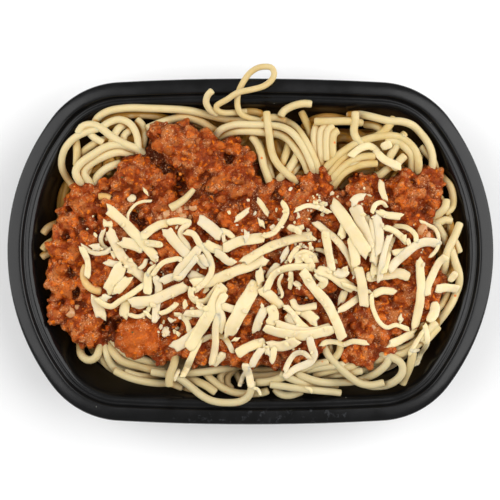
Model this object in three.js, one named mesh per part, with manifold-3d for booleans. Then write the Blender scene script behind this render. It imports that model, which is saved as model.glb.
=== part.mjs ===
// Spaghetti bolognese with grated cheese, in the black plastic tray it is sold in.
// Units are millimetres: +X runs along the tray, +Y across it and +Z up.
// The origin is the middle of the flat base that the tray stands on.
import * as THREE from "three";
import { mergeVertices } from "three/addons/utils/BufferGeometryUtils.js";
import Module from "manifold-3d";

const wasm = await Module();
wasm.setup();

// Driving dimensions of the tray.
const TRAY_LENGTH = 200;
const TRAY_WIDTH = 142.4;
const TRAY_HEIGHT = 40;
const WALL = 0.8;
const END_RADIUS = 92; // the bowed short sides
const CORNER_RADIUS = 36.5;
const CORNER_ANGLE = THREE.MathUtils.degToRad(36.8); // where a short side meets its corner
const STEPS_PER_ARC = { end: 4, corner: 5, side: 2 };

// Driving dimensions of the food.
const GAP = 0.35; // kept between neighbouring solids
const SLIVER = 0.2; // detail finer than this is cleaned off a cut solid
const STRAND_DIAMETER = 2.6;
const BUNDLE_DIAMETER = 6.4; // a few strands lying together
const CROWN_HEIGHT = 37.5; // top of the pasta in the middle
const SHOULDER_HEIGHT = 32.5; // top of the pasta beside the wall
const SHOULDER_INSET = 14.5; // from the rim to the pasta's shoulder

// ---------------------------------------------------------------- outline of the tray

const HALF_LENGTH = TRAY_LENGTH / 2;
const HALF_WIDTH = TRAY_WIDTH / 2;

// A quarter of the rim is three arcs that meet smoothly, so every line inside it is the same
// three arcs with smaller radii. The long side's radius follows from the other two.
function rimArcs() {
  const endCentre = HALF_LENGTH - END_RADIUS;
  const reach = END_RADIUS - CORNER_RADIUS;
  const cornerX = endCentre + reach * Math.cos(CORNER_ANGLE);
  const cornerY = reach * Math.sin(CORNER_ANGLE);
  const rise = HALF_WIDTH - cornerY;
  const sideRadius =
    (cornerX ** 2 + rise ** 2 - CORNER_RADIUS ** 2) / (2 * (rise - CORNER_RADIUS));
  const sideCentre = HALF_WIDTH - sideRadius;
  return {
    end: { x: endCentre, y: 0, radius: END_RADIUS },
    corner: { x: cornerX, y: cornerY, radius: CORNER_RADIUS },
    side: { x: 0, y: sideCentre, radius: sideRadius },
    sideAngle: Math.atan2(cornerY - sideCentre, cornerX),
  };
}

const ARCS = rimArcs();

// The point whose outward normal has this angle, on the line that runs inset inside the rim.
function outlinePoint(angle, inset) {
  const c = Math.cos(angle);
  const s = Math.sin(angle);
  const folded = Math.atan2(Math.abs(s), Math.abs(c));
  let arc = ARCS.side;
  if (folded < CORNER_ANGLE) arc = ARCS.end;
  else if (folded < ARCS.sideAngle) arc = ARCS.corner;
  const reach = arc.radius - inset;
  return [Math.sign(c) * arc.x + reach * c, Math.sign(s) * arc.y + reach * s];
}

// Normal angles once round the tray, evenly spaced along each arc.
function stationAngles() {
  const quarter = [];
  const addArc = (from, to, steps) => {
    for (let i = 0; i < steps; i++) quarter.push(from + ((to - from) * i) / steps);
  };
  addArc(0, CORNER_ANGLE, STEPS_PER_ARC.end);
  addArc(CORNER_ANGLE, ARCS.sideAngle, STEPS_PER_ARC.corner);
  addArc(ARCS.sideAngle, Math.PI / 2, STEPS_PER_ARC.side);
  const mirrored = [Math.PI / 2, ...quarter.slice(1).reverse().map((a) => Math.PI - a)];
  const half = [...quarter, ...mirrored];
  return [...half, ...half.map((a) => a + Math.PI)];
}

const STATIONS = stationAngles();

// ---------------------------------------------------------------- solids from rings

// A closed skin through rings of equal length, capped at both ends by a fan.
function loftGeometry(rings) {
  const count = rings[0].length;
  const points = rings.flat();
  const faces = [];
  const middle = (ring) =>
    [0, 1, 2].map((k) => ring.reduce((sum, p) => sum + p[k], 0) / ring.length);
  for (let r = 0; r + 1 < rings.length; r++)
    for (let i = 0; i < count; i++) {
      const j = (i + 1) % count;
      const [a, b, c, d] = [r * count + i, r * count + j, (r + 1) * count + j, (r + 1) * count + i];
      faces.push(a, b, c, a, c, d);
    }
  const first = points.push(middle(rings[0])) - 1;
  const last = points.push(middle(rings.at(-1))) - 1;
  const top = (rings.length - 1) * count;
  for (let i = 0; i < count; i++) {
    const j = (i + 1) % count;
    faces.push(first, j, i, last, top + i, top + j);
  }
  const geometry = new THREE.BufferGeometry();
  geometry.setAttribute("position", new THREE.Float32BufferAttribute(points.flat(), 3));
  geometry.setIndex(faces);
  return geometry;
}

function toSolid(geometry) {
  const bare = geometry.clone();
  bare.deleteAttribute("normal");
  bare.deleteAttribute("uv");
  const merged = mergeVertices(bare, 1e-4);
  return new wasm.Manifold(
    new wasm.Mesh({
      numProp: 3,
      vertProperties: merged.attributes.position.array,
      triVerts: new Uint32Array(merged.index.array),
    }),
  );
}

// The largest body of a cut solid, with the slivers that the cut left cleaned away.
function toGeometry(solid) {
  const bodies = solid.decompose().sort((a, b) => b.volume() - a.volume());
  const { vertProperties, triVerts } = bodies[0].simplify(SLIVER).getMesh();
  const geometry = new THREE.BufferGeometry();
  geometry.setAttribute("position", new THREE.BufferAttribute(vertProperties, 3));
  geometry.setIndex([...triVerts]);
  return geometry;
}

const joined = (solids) => solids.reduce((sum, next) => sum.add(next));

// ---------------------------------------------------------------- tray

// The tray's inner surface from the floor to the rim's edge, as [inset from the rim, height].
const TRAY_PROFILE = [
  [25.5, WALL], // edge of the flat floor
  [22.3, 2.0],
  [20.3, 4.6],
  [10.9, 36.0], // top of the sloping wall
  [10.0, 37.5],
  [8.5, 38.2], // crest of the ledge
  [7.2, 37.7], // groove beside the step
  [6.5, 38.1],
  [6.0, 39.6],
  [5.3, TRAY_HEIGHT], // sealing flange
  [0.9, 39.6],
  [0, 38.7],
  [0, 37.6], // foot of the turned-down edge
];

// The profile moved sideways by a distance, towards the underside of the tray.
function offsetProfile(profile, distance) {
  const normalOf = ([x0, z0], [x1, z1]) => {
    const length = Math.hypot(x1 - x0, z1 - z0);
    return [(z0 - z1) / length, (x1 - x0) / length];
  };
  return profile.map(([x, z], i) => {
    const before = normalOf(profile[Math.max(i - 1, 0)], profile[Math.max(i, 1)]);
    const after = normalOf(
      profile[Math.min(i, profile.length - 2)],
      profile[Math.min(i + 1, profile.length - 1)],
    );
    const sum = [before[0] + after[0], before[1] + after[1]];
    const mitre = (2 * distance) / (sum[0] ** 2 + sum[1] ** 2);
    return [x + sum[0] * mitre, z + sum[1] * mitre];
  });
}

const ringAt = ([inset, z]) => STATIONS.map((angle) => [...outlinePoint(angle, inset), z]);

// The thin skin between the inner surface and a plainer underside.
function trayGeometry() {
  const underside = offsetProfile(TRAY_PROFILE, WALL).filter((_, i) => ![4, 8, 10].includes(i));
  underside[0][1] = 0;
  return loftGeometry([...underside, ...TRAY_PROFILE.slice().reverse()].map(ringAt));
}

// The space inside the tray and straight up from its ledge, less the gap.
function traySpace() {
  const wall = TRAY_PROFILE.slice(0, 5).map(([inset, z]) => [inset + GAP, z + GAP]);
  const ledgeInset = TRAY_PROFILE[4][0] + GAP;
  return toSolid(loftGeometry([...wall, [ledgeInset, 2 * TRAY_HEIGHT]].map(ringAt)));
}

// ---------------------------------------------------------------- spaghetti

// Places where the pasta stands back from the wall: the normal angle and width in degrees.
const PASTA_HOLLOWS = [
  { at: 224, width: 24, depth: 10 },
  { at: 320, width: 22, depth: 9 },
  { at: 40, width: 16, depth: 3 },
  { at: 180, width: 24, depth: 3.5 },
];

// Coils of pasta that show round the sauce: the middle, radius and stretch of each in degrees.
const COILS = [
  { x: -58, y: 39, radius: 13, from: 20, to: 250 },
  { x: -50, y: 41, radius: 8, from: 200, to: 470 },
  { x: -32, y: -10, radius: 62, from: 92, to: 118 },
  { x: 12, y: 40, radius: 13, from: -30, to: 190 },
  { x: 34, y: 46, radius: 10, from: 150, to: 330 },
  { x: 52, y: 36, radius: 17, from: 0, to: 200 },
  { x: 40, y: -4, radius: 52, from: 258, to: 294 },
  { x: -2, y: -36, radius: 17, from: 205, to: 345 },
  { x: -34, y: 14, radius: 66, from: 248, to: 292 },
];

// How far the pasta's shoulder stands in from the rim at a normal angle.
function shoulderInset(angle) {
  const degrees = THREE.MathUtils.radToDeg(angle);
  return PASTA_HOLLOWS.reduce((inset, { at, width, depth }) => {
    const off = ((degrees - at + 540) % 360) - 180;
    return inset + depth * Math.exp(-((off / width) ** 2));
  }, SHOULDER_INSET);
}

// Height of the pasta, from the shoulder at share 1 to the crown at share 0, gently uneven.
function pastaHeight(x, y, share) {
  const dome = SHOULDER_HEIGHT + (CROWN_HEIGHT - SHOULDER_HEIGHT) * (1 - share ** 2);
  return dome + 0.9 * Math.sin(x / 7.5 + y / 19) * Math.cos(y / 6.5 - x / 23);
}

// The heap without its coils, or with a margin the space that what lies on it keeps clear of.
function pastaBody(grow) {
  const wallRings = [
    [25.9, 1.3],
    [20.7, 5.0],
  ].map(([inset, z]) => ringAt([inset - grow, z - grow]));
  const leaveHeight = 18; // the pasta follows the wall up to here, then leans in
  const leaveInset = 17.2;
  const leaveRing = STATIONS.map((angle) => {
    const lean = Math.max(shoulderInset(angle) - SHOULDER_INSET, 0) * 0.55;
    return [...outlinePoint(angle, leaveInset + lean - grow), leaveHeight];
  });
  const topShares = [1, 0.92, 0.76, 0.58, 0.38, 0.18];
  const shoulderDrop = 3; // rounds the heap off beside the wall
  const topRings = topShares.map((share) =>
    STATIONS.map((angle) => {
      const [x, y] = outlinePoint(angle, shoulderInset(angle) - grow).map((v) => v * share);
      return [x, y, pastaHeight(x, y, share) - (share === 1 ? shoulderDrop : 0) + grow];
    }),
  );
  return toSolid(loftGeometry([...wallRings, leaveRing, ...topRings]));
}

// A round bar along a curve.
function barGeometry(points, diameter, steps, sides) {
  const section = new THREE.Shape();
  for (let i = 0; i < sides; i++) {
    const angle = (2 * Math.PI * i) / sides;
    const place = [(diameter / 2) * Math.cos(angle), (diameter / 2) * Math.sin(angle)];
    if (i === 0) section.moveTo(...place);
    else section.lineTo(...place);
  }
  return new THREE.ExtrudeGeometry(section, {
    steps,
    extrudePath: new THREE.CatmullRomCurve3(points.map((p) => new THREE.Vector3(...p))),
  });
}

function coilSolid({ x, y, radius, from, to }, grow) {
  const turn = THREE.MathUtils.degToRad(to - from);
  const steps = Math.max(5, Math.round((radius * turn) / 7));
  const points = [];
  for (let i = 0; i <= steps; i++) {
    const angle = THREE.MathUtils.degToRad(from) + (turn * i) / steps;
    const [px, py] = [x + radius * Math.cos(angle), y + radius * Math.sin(angle)];
    const share = Math.hypot(px / (HALF_LENGTH - SHOULDER_INSET), py / (HALF_WIDTH - SHOULDER_INSET));
    points.push([px, py, pastaHeight(px, py, Math.min(share, 1)) + 0.6]);
  }
  return toSolid(barGeometry(points, BUNDLE_DIAMETER + 2 * grow, steps, 6));
}

const coilsSolid = (grow) => joined(COILS.map((coil) => coilSolid(coil, grow)));

// ---------------------------------------------------------------- meat sauce

// Clumps of mince in sauce: middle, half-length, half-width, turn in degrees and height of top.
const CLUMPS = [
  [-2, -6, 77, 38, 0, 45], // the bed of sauce that the clumps lie in
  [-27, 42, 19, 12, -28, 48.5],
  [-7, 29, 14, 14, 0, 46.5],
  [-52, 28, 14, 12, 10, 46],
  [-68, 19, 12, 12, 0, 43.5],
  [-74, -1, 12, 14, 0, 43],
  [-75, -17, 10, 11, 0, 41.5],
  [-65, -30, 13, 10, -20, 42],
  [-45, -34, 14, 11, 8, 46],
  [-54, -8, 15, 14, 0, 45],
  [-26, -41, 12, 8, 0, 42.5],
  [-2, -41, 15, 8, 0, 42.5],
  [20, 19, 15, 13, 0, 45.5],
  [25, -37, 15, 10, 0, 43.5],
  [45, 21, 13, 13, 15, 45.5],
  [63, 23, 14, 12, 0, 46],
  [74, 26, 9, 10, 0, 44.5],
  [66, 3, 14, 13, 0, 44.5],
  [70, -16, 12, 12, 0, 43.5],
  [51, -29, 15, 13, 0, 45],
  [44, -43, 12, 8, -15, 42.5],
];
const CLUMP_ROOT = 33; // height of every clump's middle, down in the pasta

function clumpSolid([x, y, halfLength, halfWidth, turn, top], grow) {
  const ball = new THREE.SphereGeometry(1, 10, 5);
  ball.rotateX(Math.PI / 2);
  ball.scale(halfLength + grow, halfWidth + grow, top - CLUMP_ROOT + grow);
  ball.rotateZ(THREE.MathUtils.degToRad(turn));
  ball.translate(x, y, CLUMP_ROOT);
  return toSolid(ball);
}

// The sauce before it is cut to the pasta, or with a margin the space that the cheese keeps clear of.
function sauceSolid(grow) {
  return joined(CLUMPS.map((clump) => clumpSolid(clump, grow)));
}

// Height of the sauce at a place, or of the pasta where there is none.
function foodHeight(x, y) {
  const share = Math.hypot(x / (HALF_LENGTH - SHOULDER_INSET), y / (HALF_WIDTH - SHOULDER_INSET));
  const pasta = pastaHeight(x, y, Math.min(share, 1));
  return CLUMPS.reduce((highest, [cx, cy, halfLength, halfWidth, turn, top]) => {
    const angle = THREE.MathUtils.degToRad(turn);
    const [dx, dy] = [x - cx, y - cy];
    const along = (dx * Math.cos(angle) + dy * Math.sin(angle)) / halfLength;
    const across = (dy * Math.cos(angle) - dx * Math.sin(angle)) / halfWidth;
    const inside = 1 - along ** 2 - across ** 2;
    if (inside <= 0) return highest;
    return Math.max(highest, CLUMP_ROOT + (top - CLUMP_ROOT) * Math.sqrt(inside));
  }, pasta);
}

// ---------------------------------------------------------------- grated cheese

const CHEESE_MIDDLE = [14, -9];
const CHEESE_REACH = [63, 34]; // half-length and half-width of the sprinkled patch
const CHEESE_DEPTH = [0.3, 1.8]; // the loose layer under the large shreds, over the food
const SHRED_WIDTH = 4.4;
const SHRED_THICKNESS = 2.4;

// Large shreds on top: middle, direction in degrees and length.
const SHREDS = [
  [-45, 12, -52, 26],
  [-35, 17, -42, 20],
  [-46, -3, 62, 18],
  [-27, -9, 30, 32],
  [-20, -2, -60, 22],
  [-16, 16, -38, 17],
  [-8, 5, 20, 24],
  [0, -5, 24, 34],
  [-7, -24, 66, 30],
  [4, -19, 58, 33],
  [12, 2, 10, 30],
  [16, -24, -25, 20],
  [20, -7, -62, 28],
  [28, 6, -55, 18],
  [30, -17, -62, 36],
  [27, -30, 8, 28],
  [38, 12, -56, 34],
  [44, 8, -80, 28],
  [42, -6, -30, 24],
  [52, -1, 62, 30],
  [57, -13, -4, 26],
  [63, 1, 24, 26],
  [74, -10, -84, 24],
  [54, -20, -80, 18],
];

// How far the sprinkled patch reaches at an angle, with lobes so that its edge is uneven.
function cheeseReach(angle) {
  const lobes = 1 + 0.13 * Math.sin(3 * angle + 0.6) + 0.09 * Math.cos(5 * angle - 0.4);
  return CHEESE_REACH.map((reach) => reach * lobes);
}

// The loose layer between two heights over the food, and with a margin a wider one.
function cheeseLayer(lowest, highest, margin) {
  const spokes = 20;
  const shares = [0.38, 0.72, 1];
  const ringOver = (share, rise) =>
    Array.from({ length: spokes }, (_, i) => {
      const angle = (2 * Math.PI * i) / spokes;
      const [reachX, reachY] = cheeseReach(angle).map((reach) => reach + margin);
      const x = CHEESE_MIDDLE[0] + reachX * share * Math.cos(angle);
      const y = CHEESE_MIDDLE[1] + reachY * share * Math.sin(angle);
      return [x, y, foodHeight(x, y) + rise];
    });
  const under = shares.map((share) => ringOver(share, lowest));
  const over = shares.map((share) => ringOver(share, highest)).reverse();
  return toSolid(loftGeometry([...under, ...over]));
}

function shredSolid([x, y, degrees, length]) {
  const angle = THREE.MathUtils.degToRad(degrees);
  const ends = [-0.5, 0.5].map((share) => {
    const [ex, ey] = [x + share * length * Math.cos(angle), y + share * length * Math.sin(angle)];
    return foodHeight(ex, ey);
  });
  const middle = Math.max(foodHeight(x, y), (ends[0] + ends[1]) / 2);
  const bar = new THREE.BoxGeometry(length, SHRED_WIDTH, SHRED_THICKNESS);
  bar.rotateY(-Math.atan2(ends[1] - ends[0], length));
  bar.rotateZ(angle);
  bar.translate(x, y, middle + CHEESE_DEPTH[1]);
  return toSolid(bar);
}

// ---------------------------------------------------------------- strands that stand out

// A strand that loops out over the long side's rim, from its first foot in the pasta to its second.
const LOOP_ROUTE = [
  [-12.0, 56.2, 40.2],
  [-9.3, 62.6, 42.9],
  [-4.7, 65.6, 45.3],
  [2.2, 66.9, 44.6],
  [7.8, 69.8, 43.6],
  [9.4, 73.0, 43.4],
  [6.6, 75.4, 43.4],
  [1.6, 73.8, 42.8],
  [-2.2, 69.6, 41.9],
  [-4.7, 65.0, 41.9],
  [-5.6, 60.0, 41.3],
  [-4.6, 55.9, 40.2],
];

// The end of a strand that curls up over the ledge.
const CURLED_END_ROUTE = [
  [-15.4, 65.9, 44.2],
  [-17.9, 63.1, 42.6],
  [-18.5, 60.0, 41.0],
  [-17.4, 57.4, 40.0],
];

// ---------------------------------------------------------------- the object

// Sheen and colour of each finish.
const FINISHES = {
  blackPlastic: { color: 0x1a1b1c, roughness: 0.32, metalness: 0 },
  cookedPasta: { color: 0xdcc48c, roughness: 0.45, metalness: 0 },
  meatSauce: { color: 0xa0522a, roughness: 0.4, metalness: 0 },
  youngCheese: { color: 0xf3e3b4, roughness: 0.5, metalness: 0 },
};

function named(name, geometry, finish) {
  const mesh = new THREE.Mesh(geometry, new THREE.MeshStandardMaterial(FINISHES[finish]));
  mesh.name = name;
  return mesh;
}

const inside = traySpace();
const [layerFoot, layerTop] = CHEESE_DEPTH;
const cheeseRoom = (margin) => cheeseLayer(layerFoot - margin, TRAY_HEIGHT, margin);
const sauceSpace = sauceSolid(GAP).subtract(cheeseRoom(GAP / 2));
const pastaSpace = pastaBody(GAP);
const pasta = pastaBody(0).add(coilsSolid(0).subtract(sauceSolid(GAP))).intersect(inside);
const sauce = sauceSolid(0).intersect(inside).subtract(pastaSpace).subtract(cheeseRoom(GAP));
const cheese = joined([cheeseLayer(layerFoot, layerTop, 0), ...SHREDS.map(shredSolid)])
  .intersect(inside)
  .subtract(sauceSpace)
  .subtract(pastaSpace)
  .subtract(coilsSolid(GAP));

const meal = new THREE.Group();
meal.add(
  named("tray", trayGeometry(), "blackPlastic"),
  named("spaghetti", toGeometry(pasta), "cookedPasta"),
  named("bolognese_sauce", toGeometry(sauce), "meatSauce"),
  named("grated_cheese", toGeometry(cheese), "youngCheese"),
  named("looped_strand", barGeometry(LOOP_ROUTE, STRAND_DIAMETER, 36, 8), "cookedPasta"),
  named("curled_strand_end", barGeometry(CURLED_END_ROUTE, STRAND_DIAMETER, 12, 8), "cookedPasta"),
);

export default meal;
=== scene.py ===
"""Spaghetti bolognese with grated cheese, in the black plastic tray it is sold in.

Lengths are millimetres in the part's own frame until a mesh is made, which is in metres.
"""
import math

import bmesh
import bpy
import numpy as np
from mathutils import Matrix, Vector


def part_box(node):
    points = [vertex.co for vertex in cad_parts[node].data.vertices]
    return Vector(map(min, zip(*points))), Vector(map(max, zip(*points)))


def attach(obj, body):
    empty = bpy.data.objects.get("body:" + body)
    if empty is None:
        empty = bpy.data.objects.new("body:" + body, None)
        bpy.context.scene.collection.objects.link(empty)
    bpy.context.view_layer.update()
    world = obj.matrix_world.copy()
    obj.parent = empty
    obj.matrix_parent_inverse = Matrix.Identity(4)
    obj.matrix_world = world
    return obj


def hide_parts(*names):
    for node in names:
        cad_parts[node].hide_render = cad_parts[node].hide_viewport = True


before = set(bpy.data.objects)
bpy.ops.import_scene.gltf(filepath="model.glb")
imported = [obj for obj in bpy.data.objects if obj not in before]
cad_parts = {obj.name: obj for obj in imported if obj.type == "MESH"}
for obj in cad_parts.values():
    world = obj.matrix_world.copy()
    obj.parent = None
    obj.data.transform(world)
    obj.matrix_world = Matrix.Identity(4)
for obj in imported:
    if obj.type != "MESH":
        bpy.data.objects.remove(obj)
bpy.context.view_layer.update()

MM = 0.001
rng = np.random.default_rng(20)

# ------------------------------------------------------------------ small helpers


def hex_colour(text):
    """An sRGB hex colour as linear RGBA."""
    values = [int(text[i:i + 2], 16) / 255 for i in (1, 3, 5)]
    return [v / 12.92 if v <= 0.04045 else ((v + 0.055) / 1.055) ** 2.4 for v in values] + [1.0]


def add(tree, kind, inputs=None, **settings):
    """Adds a node with its settings; an input takes a value or another node's socket."""
    made = tree.nodes.new(kind)
    for key, value in settings.items():
        setattr(made, key, value)
    for key, value in (inputs or {}).items():
        if isinstance(value, bpy.types.NodeSocket):
            tree.links.new(value, made.inputs[key])
        else:
            made.inputs[key].default_value = value
    return made


def maths(tree, operation, *values):
    """The result of a maths node, from numbers or other nodes' sockets."""
    return add(tree, "ShaderNodeMath", dict(enumerate(values)), operation=operation).outputs[0]


def scaled(tree, vector, factor):
    return add(tree, "ShaderNodeVectorMath", {0: vector, "Scale": factor}, operation="SCALE").outputs[0]


def ramp(tree, factor, stops):
    """A colour ramp through (position, hex colour) stops."""
    made = add(tree, "ShaderNodeValToRGB", {"Fac": factor})
    elements = made.color_ramp.elements
    for _ in range(len(stops) - 2):
        elements.new(0.5)
    for element, (position, text) in zip(elements, stops):
        element.position = position
        element.color = hex_colour(text)
    return made.outputs["Color"]


def new_object(name, data):
    made = bpy.data.objects.new(name, data)
    bpy.context.scene.collection.objects.link(made)
    return made


def new_piece(name, mesh, material):
    """An object with one material."""
    mesh.materials.append(material)
    return new_object(name, mesh)


def mesh_from(name, points_mm, faces, smooth=True):
    """A mesh from points in millimetres."""
    mesh = bpy.data.meshes.new(name)
    mesh.from_pydata((np.asarray(points_mm) * MM).tolist(), [], [list(f) for f in faces])
    mesh.validate()
    if smooth:
        mesh.polygons.foreach_set("use_smooth", np.ones(len(mesh.polygons), bool))
    mesh.update()
    return mesh


def tube_faces(rings, sides, base=0):
    """Faces of a tube through rings of points, with a flat face at either end."""
    faces = []
    for start in range(base, base + (rings - 1) * sides, sides):
        for i in range(sides):
            j = (i + 1) % sides
            faces.append((start + i, start + j, start + sides + j, start + sides + i))
    faces.append(tuple(base + i for i in reversed(range(sides))))
    faces.append(tuple(base + (rings - 1) * sides + i for i in range(sides)))
    return faces


def set_attribute(mesh, name, values):
    layer = mesh.attributes.get(name) or mesh.attributes.new(name, "FLOAT", "POINT")
    layer.data.foreach_set("value", np.asarray(values, np.float32))


def points_of(mesh):
    """A mesh's points in millimetres."""
    co = np.empty(len(mesh.vertices) * 3, np.float32)
    mesh.vertices.foreach_get("co", co)
    return co.reshape(-1, 3).astype(float) / MM


def spline(points, step):
    """A smooth curve through control points, resampled at an even step."""
    p = np.asarray(points, float)
    p = np.vstack([2 * p[0] - p[1], p, 2 * p[-1] - p[-2]])
    dense = []
    for i in range(1, len(p) - 2):
        t = np.linspace(0, 1, 24, endpoint=False)[:, None]
        a, b, c, d = p[i - 1], p[i], p[i + 1], p[i + 2]
        dense.append(0.5 * (2 * b + (c - a) * t + (2 * a - 5 * b + 4 * c - d) * t ** 2
                            + (3 * b - a - 3 * c + d) * t ** 3))
    dense.append(p[-2:-1])
    dense = np.vstack(dense)
    run = np.concatenate([[0], np.cumsum(np.linalg.norm(np.diff(dense, axis=0), axis=1))])
    count = max(int(round(run[-1] / step)), 3)
    even = np.linspace(0, run[-1], count + 1)
    return np.column_stack([np.interp(even, run, dense[:, k]) for k in range(p.shape[1])])


# ------------------------------------------------------------------ outline of the tray

TRAY_LOW, TRAY_HIGH = [np.array(corner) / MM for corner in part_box("tray")]
HALF_LENGTH, HALF_WIDTH = (TRAY_HIGH - TRAY_LOW)[:2] / 2
# The rim is eight arcs: two ends, two sides and the four corners between them.
END_RADIUS = 92
CORNER_RADIUS = 36.5
CORNER_ANGLE = math.radians(36.8)
END_X = HALF_LENGTH - END_RADIUS
CORNER_X = END_X + (END_RADIUS - CORNER_RADIUS) * math.cos(CORNER_ANGLE)
CORNER_Y = (END_RADIUS - CORNER_RADIUS) * math.sin(CORNER_ANGLE)
RISE = HALF_WIDTH - CORNER_Y
SIDE_RADIUS = (CORNER_X ** 2 + RISE ** 2 - CORNER_RADIUS ** 2) / (2 * (RISE - CORNER_RADIUS))
SIDE_Y = HALF_WIDTH - SIDE_RADIUS
SIDE_ANGLE = math.atan2(CORNER_Y - SIDE_Y, CORNER_X)

# The inner surface, as (inset from the rim, height). The last point is the rim's lower edge.
TRAY_PROFILE = [
    (25.5, 0.8), (22.3, 2.0), (20.3, 4.6), (10.9, 36.0), (10.0, 37.5), (8.5, 38.2), (7.2, 37.7),
    (6.5, 38.1), (6.0, 39.6), (5.3, 40.0), (0.9, 39.6), (0.0, 38.7), (0.0, 37.6),
]
WALL = 0.8
# How far inside the rim the tray's flat base begins.
BASE_INSET = 25.9


def rim_inset(x, y):
    """How far inside the rim a place is."""
    ax, ay = np.abs(x), np.abs(y)
    end = END_RADIUS - np.hypot(ax - END_X, ay)
    corner = CORNER_RADIUS - np.hypot(ax - CORNER_X, ay - CORNER_Y)
    side = SIDE_RADIUS - np.hypot(ax, ay - SIDE_Y)
    on_side = np.arctan2(ay - SIDE_Y, ax) >= SIDE_ANGLE
    on_end = np.arctan2(ay, ax - END_X) <= CORNER_ANGLE
    return np.where(on_side, side, np.where(on_end, end, corner))


def outline_point(angle, inset):
    """The place on the rim's outline, moved inwards, where it faces an angle."""
    c, s = math.cos(angle), math.sin(angle)
    folded = math.atan2(abs(s), abs(c))
    if folded < CORNER_ANGLE:
        x, y, radius = END_X, 0, END_RADIUS
    elif folded < SIDE_ANGLE:
        x, y, radius = CORNER_X, CORNER_Y, CORNER_RADIUS
    else:
        x, y, radius = 0, SIDE_Y, SIDE_RADIUS
    return math.copysign(x, c) + (radius - inset) * c, math.copysign(1, s) * y + (radius - inset) * s


def tray_height(inset):
    """Height of the tray's inner surface."""
    inner = sorted(TRAY_PROFILE[:-1])
    return np.interp(inset, [p[0] for p in inner], [p[1] for p in inner])


# ------------------------------------------------------------------ heights that things rest on

CELL = 0.4
REACH_X, REACH_Y = 104, 80
COLUMNS, ROWS = int(2 * REACH_X / CELL) + 1, int(2 * REACH_Y / CELL) + 1
GRID_X, GRID_Y = np.meshgrid(np.arange(COLUMNS) * CELL - REACH_X, np.arange(ROWS) * CELL - REACH_Y)
# A soft strand may sink this far into what it lies on.
GIVE = 0.25
STRAND_SMOOTHING = 1.6


def cell_of(x, y):
    column = np.clip(np.rint((np.asarray(x) + REACH_X) / CELL).astype(int), 0, COLUMNS - 1)
    row = np.clip(np.rint((np.asarray(y) + REACH_Y) / CELL).astype(int), 0, ROWS - 1)
    return row, column


def disc(radius, step):
    """Offsets inside a circle, with how high a ball stands above its middle there."""
    n = int(radius / step)
    dx, dy = np.meshgrid(np.arange(-n, n + 1) * step, np.arange(-n, n + 1) * step)
    near = np.hypot(dx, dy) < radius
    dx, dy = dx[near], dy[near]
    return dx, dy, np.sqrt(radius ** 2 - dx ** 2 - dy ** 2)


def rest_on(heights, path, radius, bend_radius):
    """Heights of the middle of a soft strand that lies along a path over what is there."""
    dx, dy, bulge = disc(radius, CELL)
    row, column = cell_of(path[:, :1] + dx, path[:, 1:2] + dy)
    needed = (heights[row, column] + bulge).max(1)
    run = np.concatenate([[0], np.cumsum(np.linalg.norm(np.diff(path[:, :2], axis=0), axis=1))])
    apart = run[:, None] - run[None, :]
    z = (needed[None, :] - apart ** 2 / (2 * bend_radius)).max(1)
    kernel = np.exp(-0.5 * (apart / STRAND_SMOOTHING) ** 2)
    smooth = kernel @ z / kernel.sum(1)
    return np.maximum(smooth, needed - GIVE)


def press(heights, path, z, radius, flat=None):
    """Raises the heights where a strand now lies."""
    dense = max(int(len(path) * 2.5), 4)
    at = np.linspace(0, len(path) - 1, dense)
    steps = np.arange(len(path))
    x, y, z = [np.interp(at, steps, v) for v in (path[:, 0], path[:, 1], z)]
    dx, dy, bulge = disc(radius, CELL)
    if flat is not None:
        bulge = np.full_like(bulge, flat)
    row, column = cell_of(x[:, None] + dx, y[:, None] + dy)
    np.maximum.at(heights, (row, column), z[:, None] + bulge)


# ------------------------------------------------------------------ geometry node trees


def new_tree(name, defaults):
    """A tree with named inputs, its material among them; returns it and its inputs."""
    tree = bpy.data.node_groups.new(name, "GeometryNodeTree")
    tree.interface.new_socket("Geometry", in_out="INPUT", socket_type="NodeSocketGeometry")
    for label, value in defaults.items():
        kind = "NodeSocketInt" if isinstance(value, int) else "NodeSocketFloat"
        tree.interface.new_socket(label, in_out="INPUT", socket_type=kind).default_value = value
    tree.interface.new_socket("Material", in_out="INPUT", socket_type="NodeSocketMaterial")
    tree.interface.new_socket("Geometry", in_out="OUTPUT", socket_type="NodeSocketGeometry")
    return tree, add(tree, "NodeGroupInput").outputs


def close_tree(tree, geometry, given):
    """Every tree ends in smooth, real geometry with its material on."""
    smooth = add(tree, "GeometryNodeSetShadeSmooth", {"Geometry": geometry})
    real = add(tree, "GeometryNodeRealizeInstances", {"Geometry": smooth.outputs[0]})
    painted = add(tree, "GeometryNodeSetMaterial",
                  {"Geometry": real.outputs[0], "Material": given["Material"]})
    add(tree, "NodeGroupOutput", {"Geometry": painted.outputs[0]})
    return tree


def grown(name, source_mesh, tree, material, values):
    """The plain mesh object that a tree makes from a source mesh."""
    source = new_object(name + "_source", source_mesh)
    modifier = source.modifiers.new("grow", "NODES")
    modifier.node_group = tree
    values = {**values, "Material": material}
    for item in tree.interface.items_tree:
        if item.item_type == "SOCKET" and item.in_out == "INPUT" and item.name in values:
            modifier[item.identifier] = values[item.name]
    evaluated = source.evaluated_get(bpy.context.evaluated_depsgraph_get())
    mesh = bpy.data.meshes.new_from_object(evaluated)
    source.modifiers.remove(modifier)
    bpy.data.objects.remove(source)
    # Strewn instances bring an empty material slot with them.
    if len(mesh.materials) > 1:
        mesh.materials.pop(index=0)
        mesh.polygons.foreach_set("material_index", [0] * len(mesh.polygons))
    mesh.name = name
    return new_object(name, mesh)


def position_in_mm(tree):
    return scaled(tree, add(tree, "GeometryNodeInputPosition").outputs[0], 1 / MM)


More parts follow.
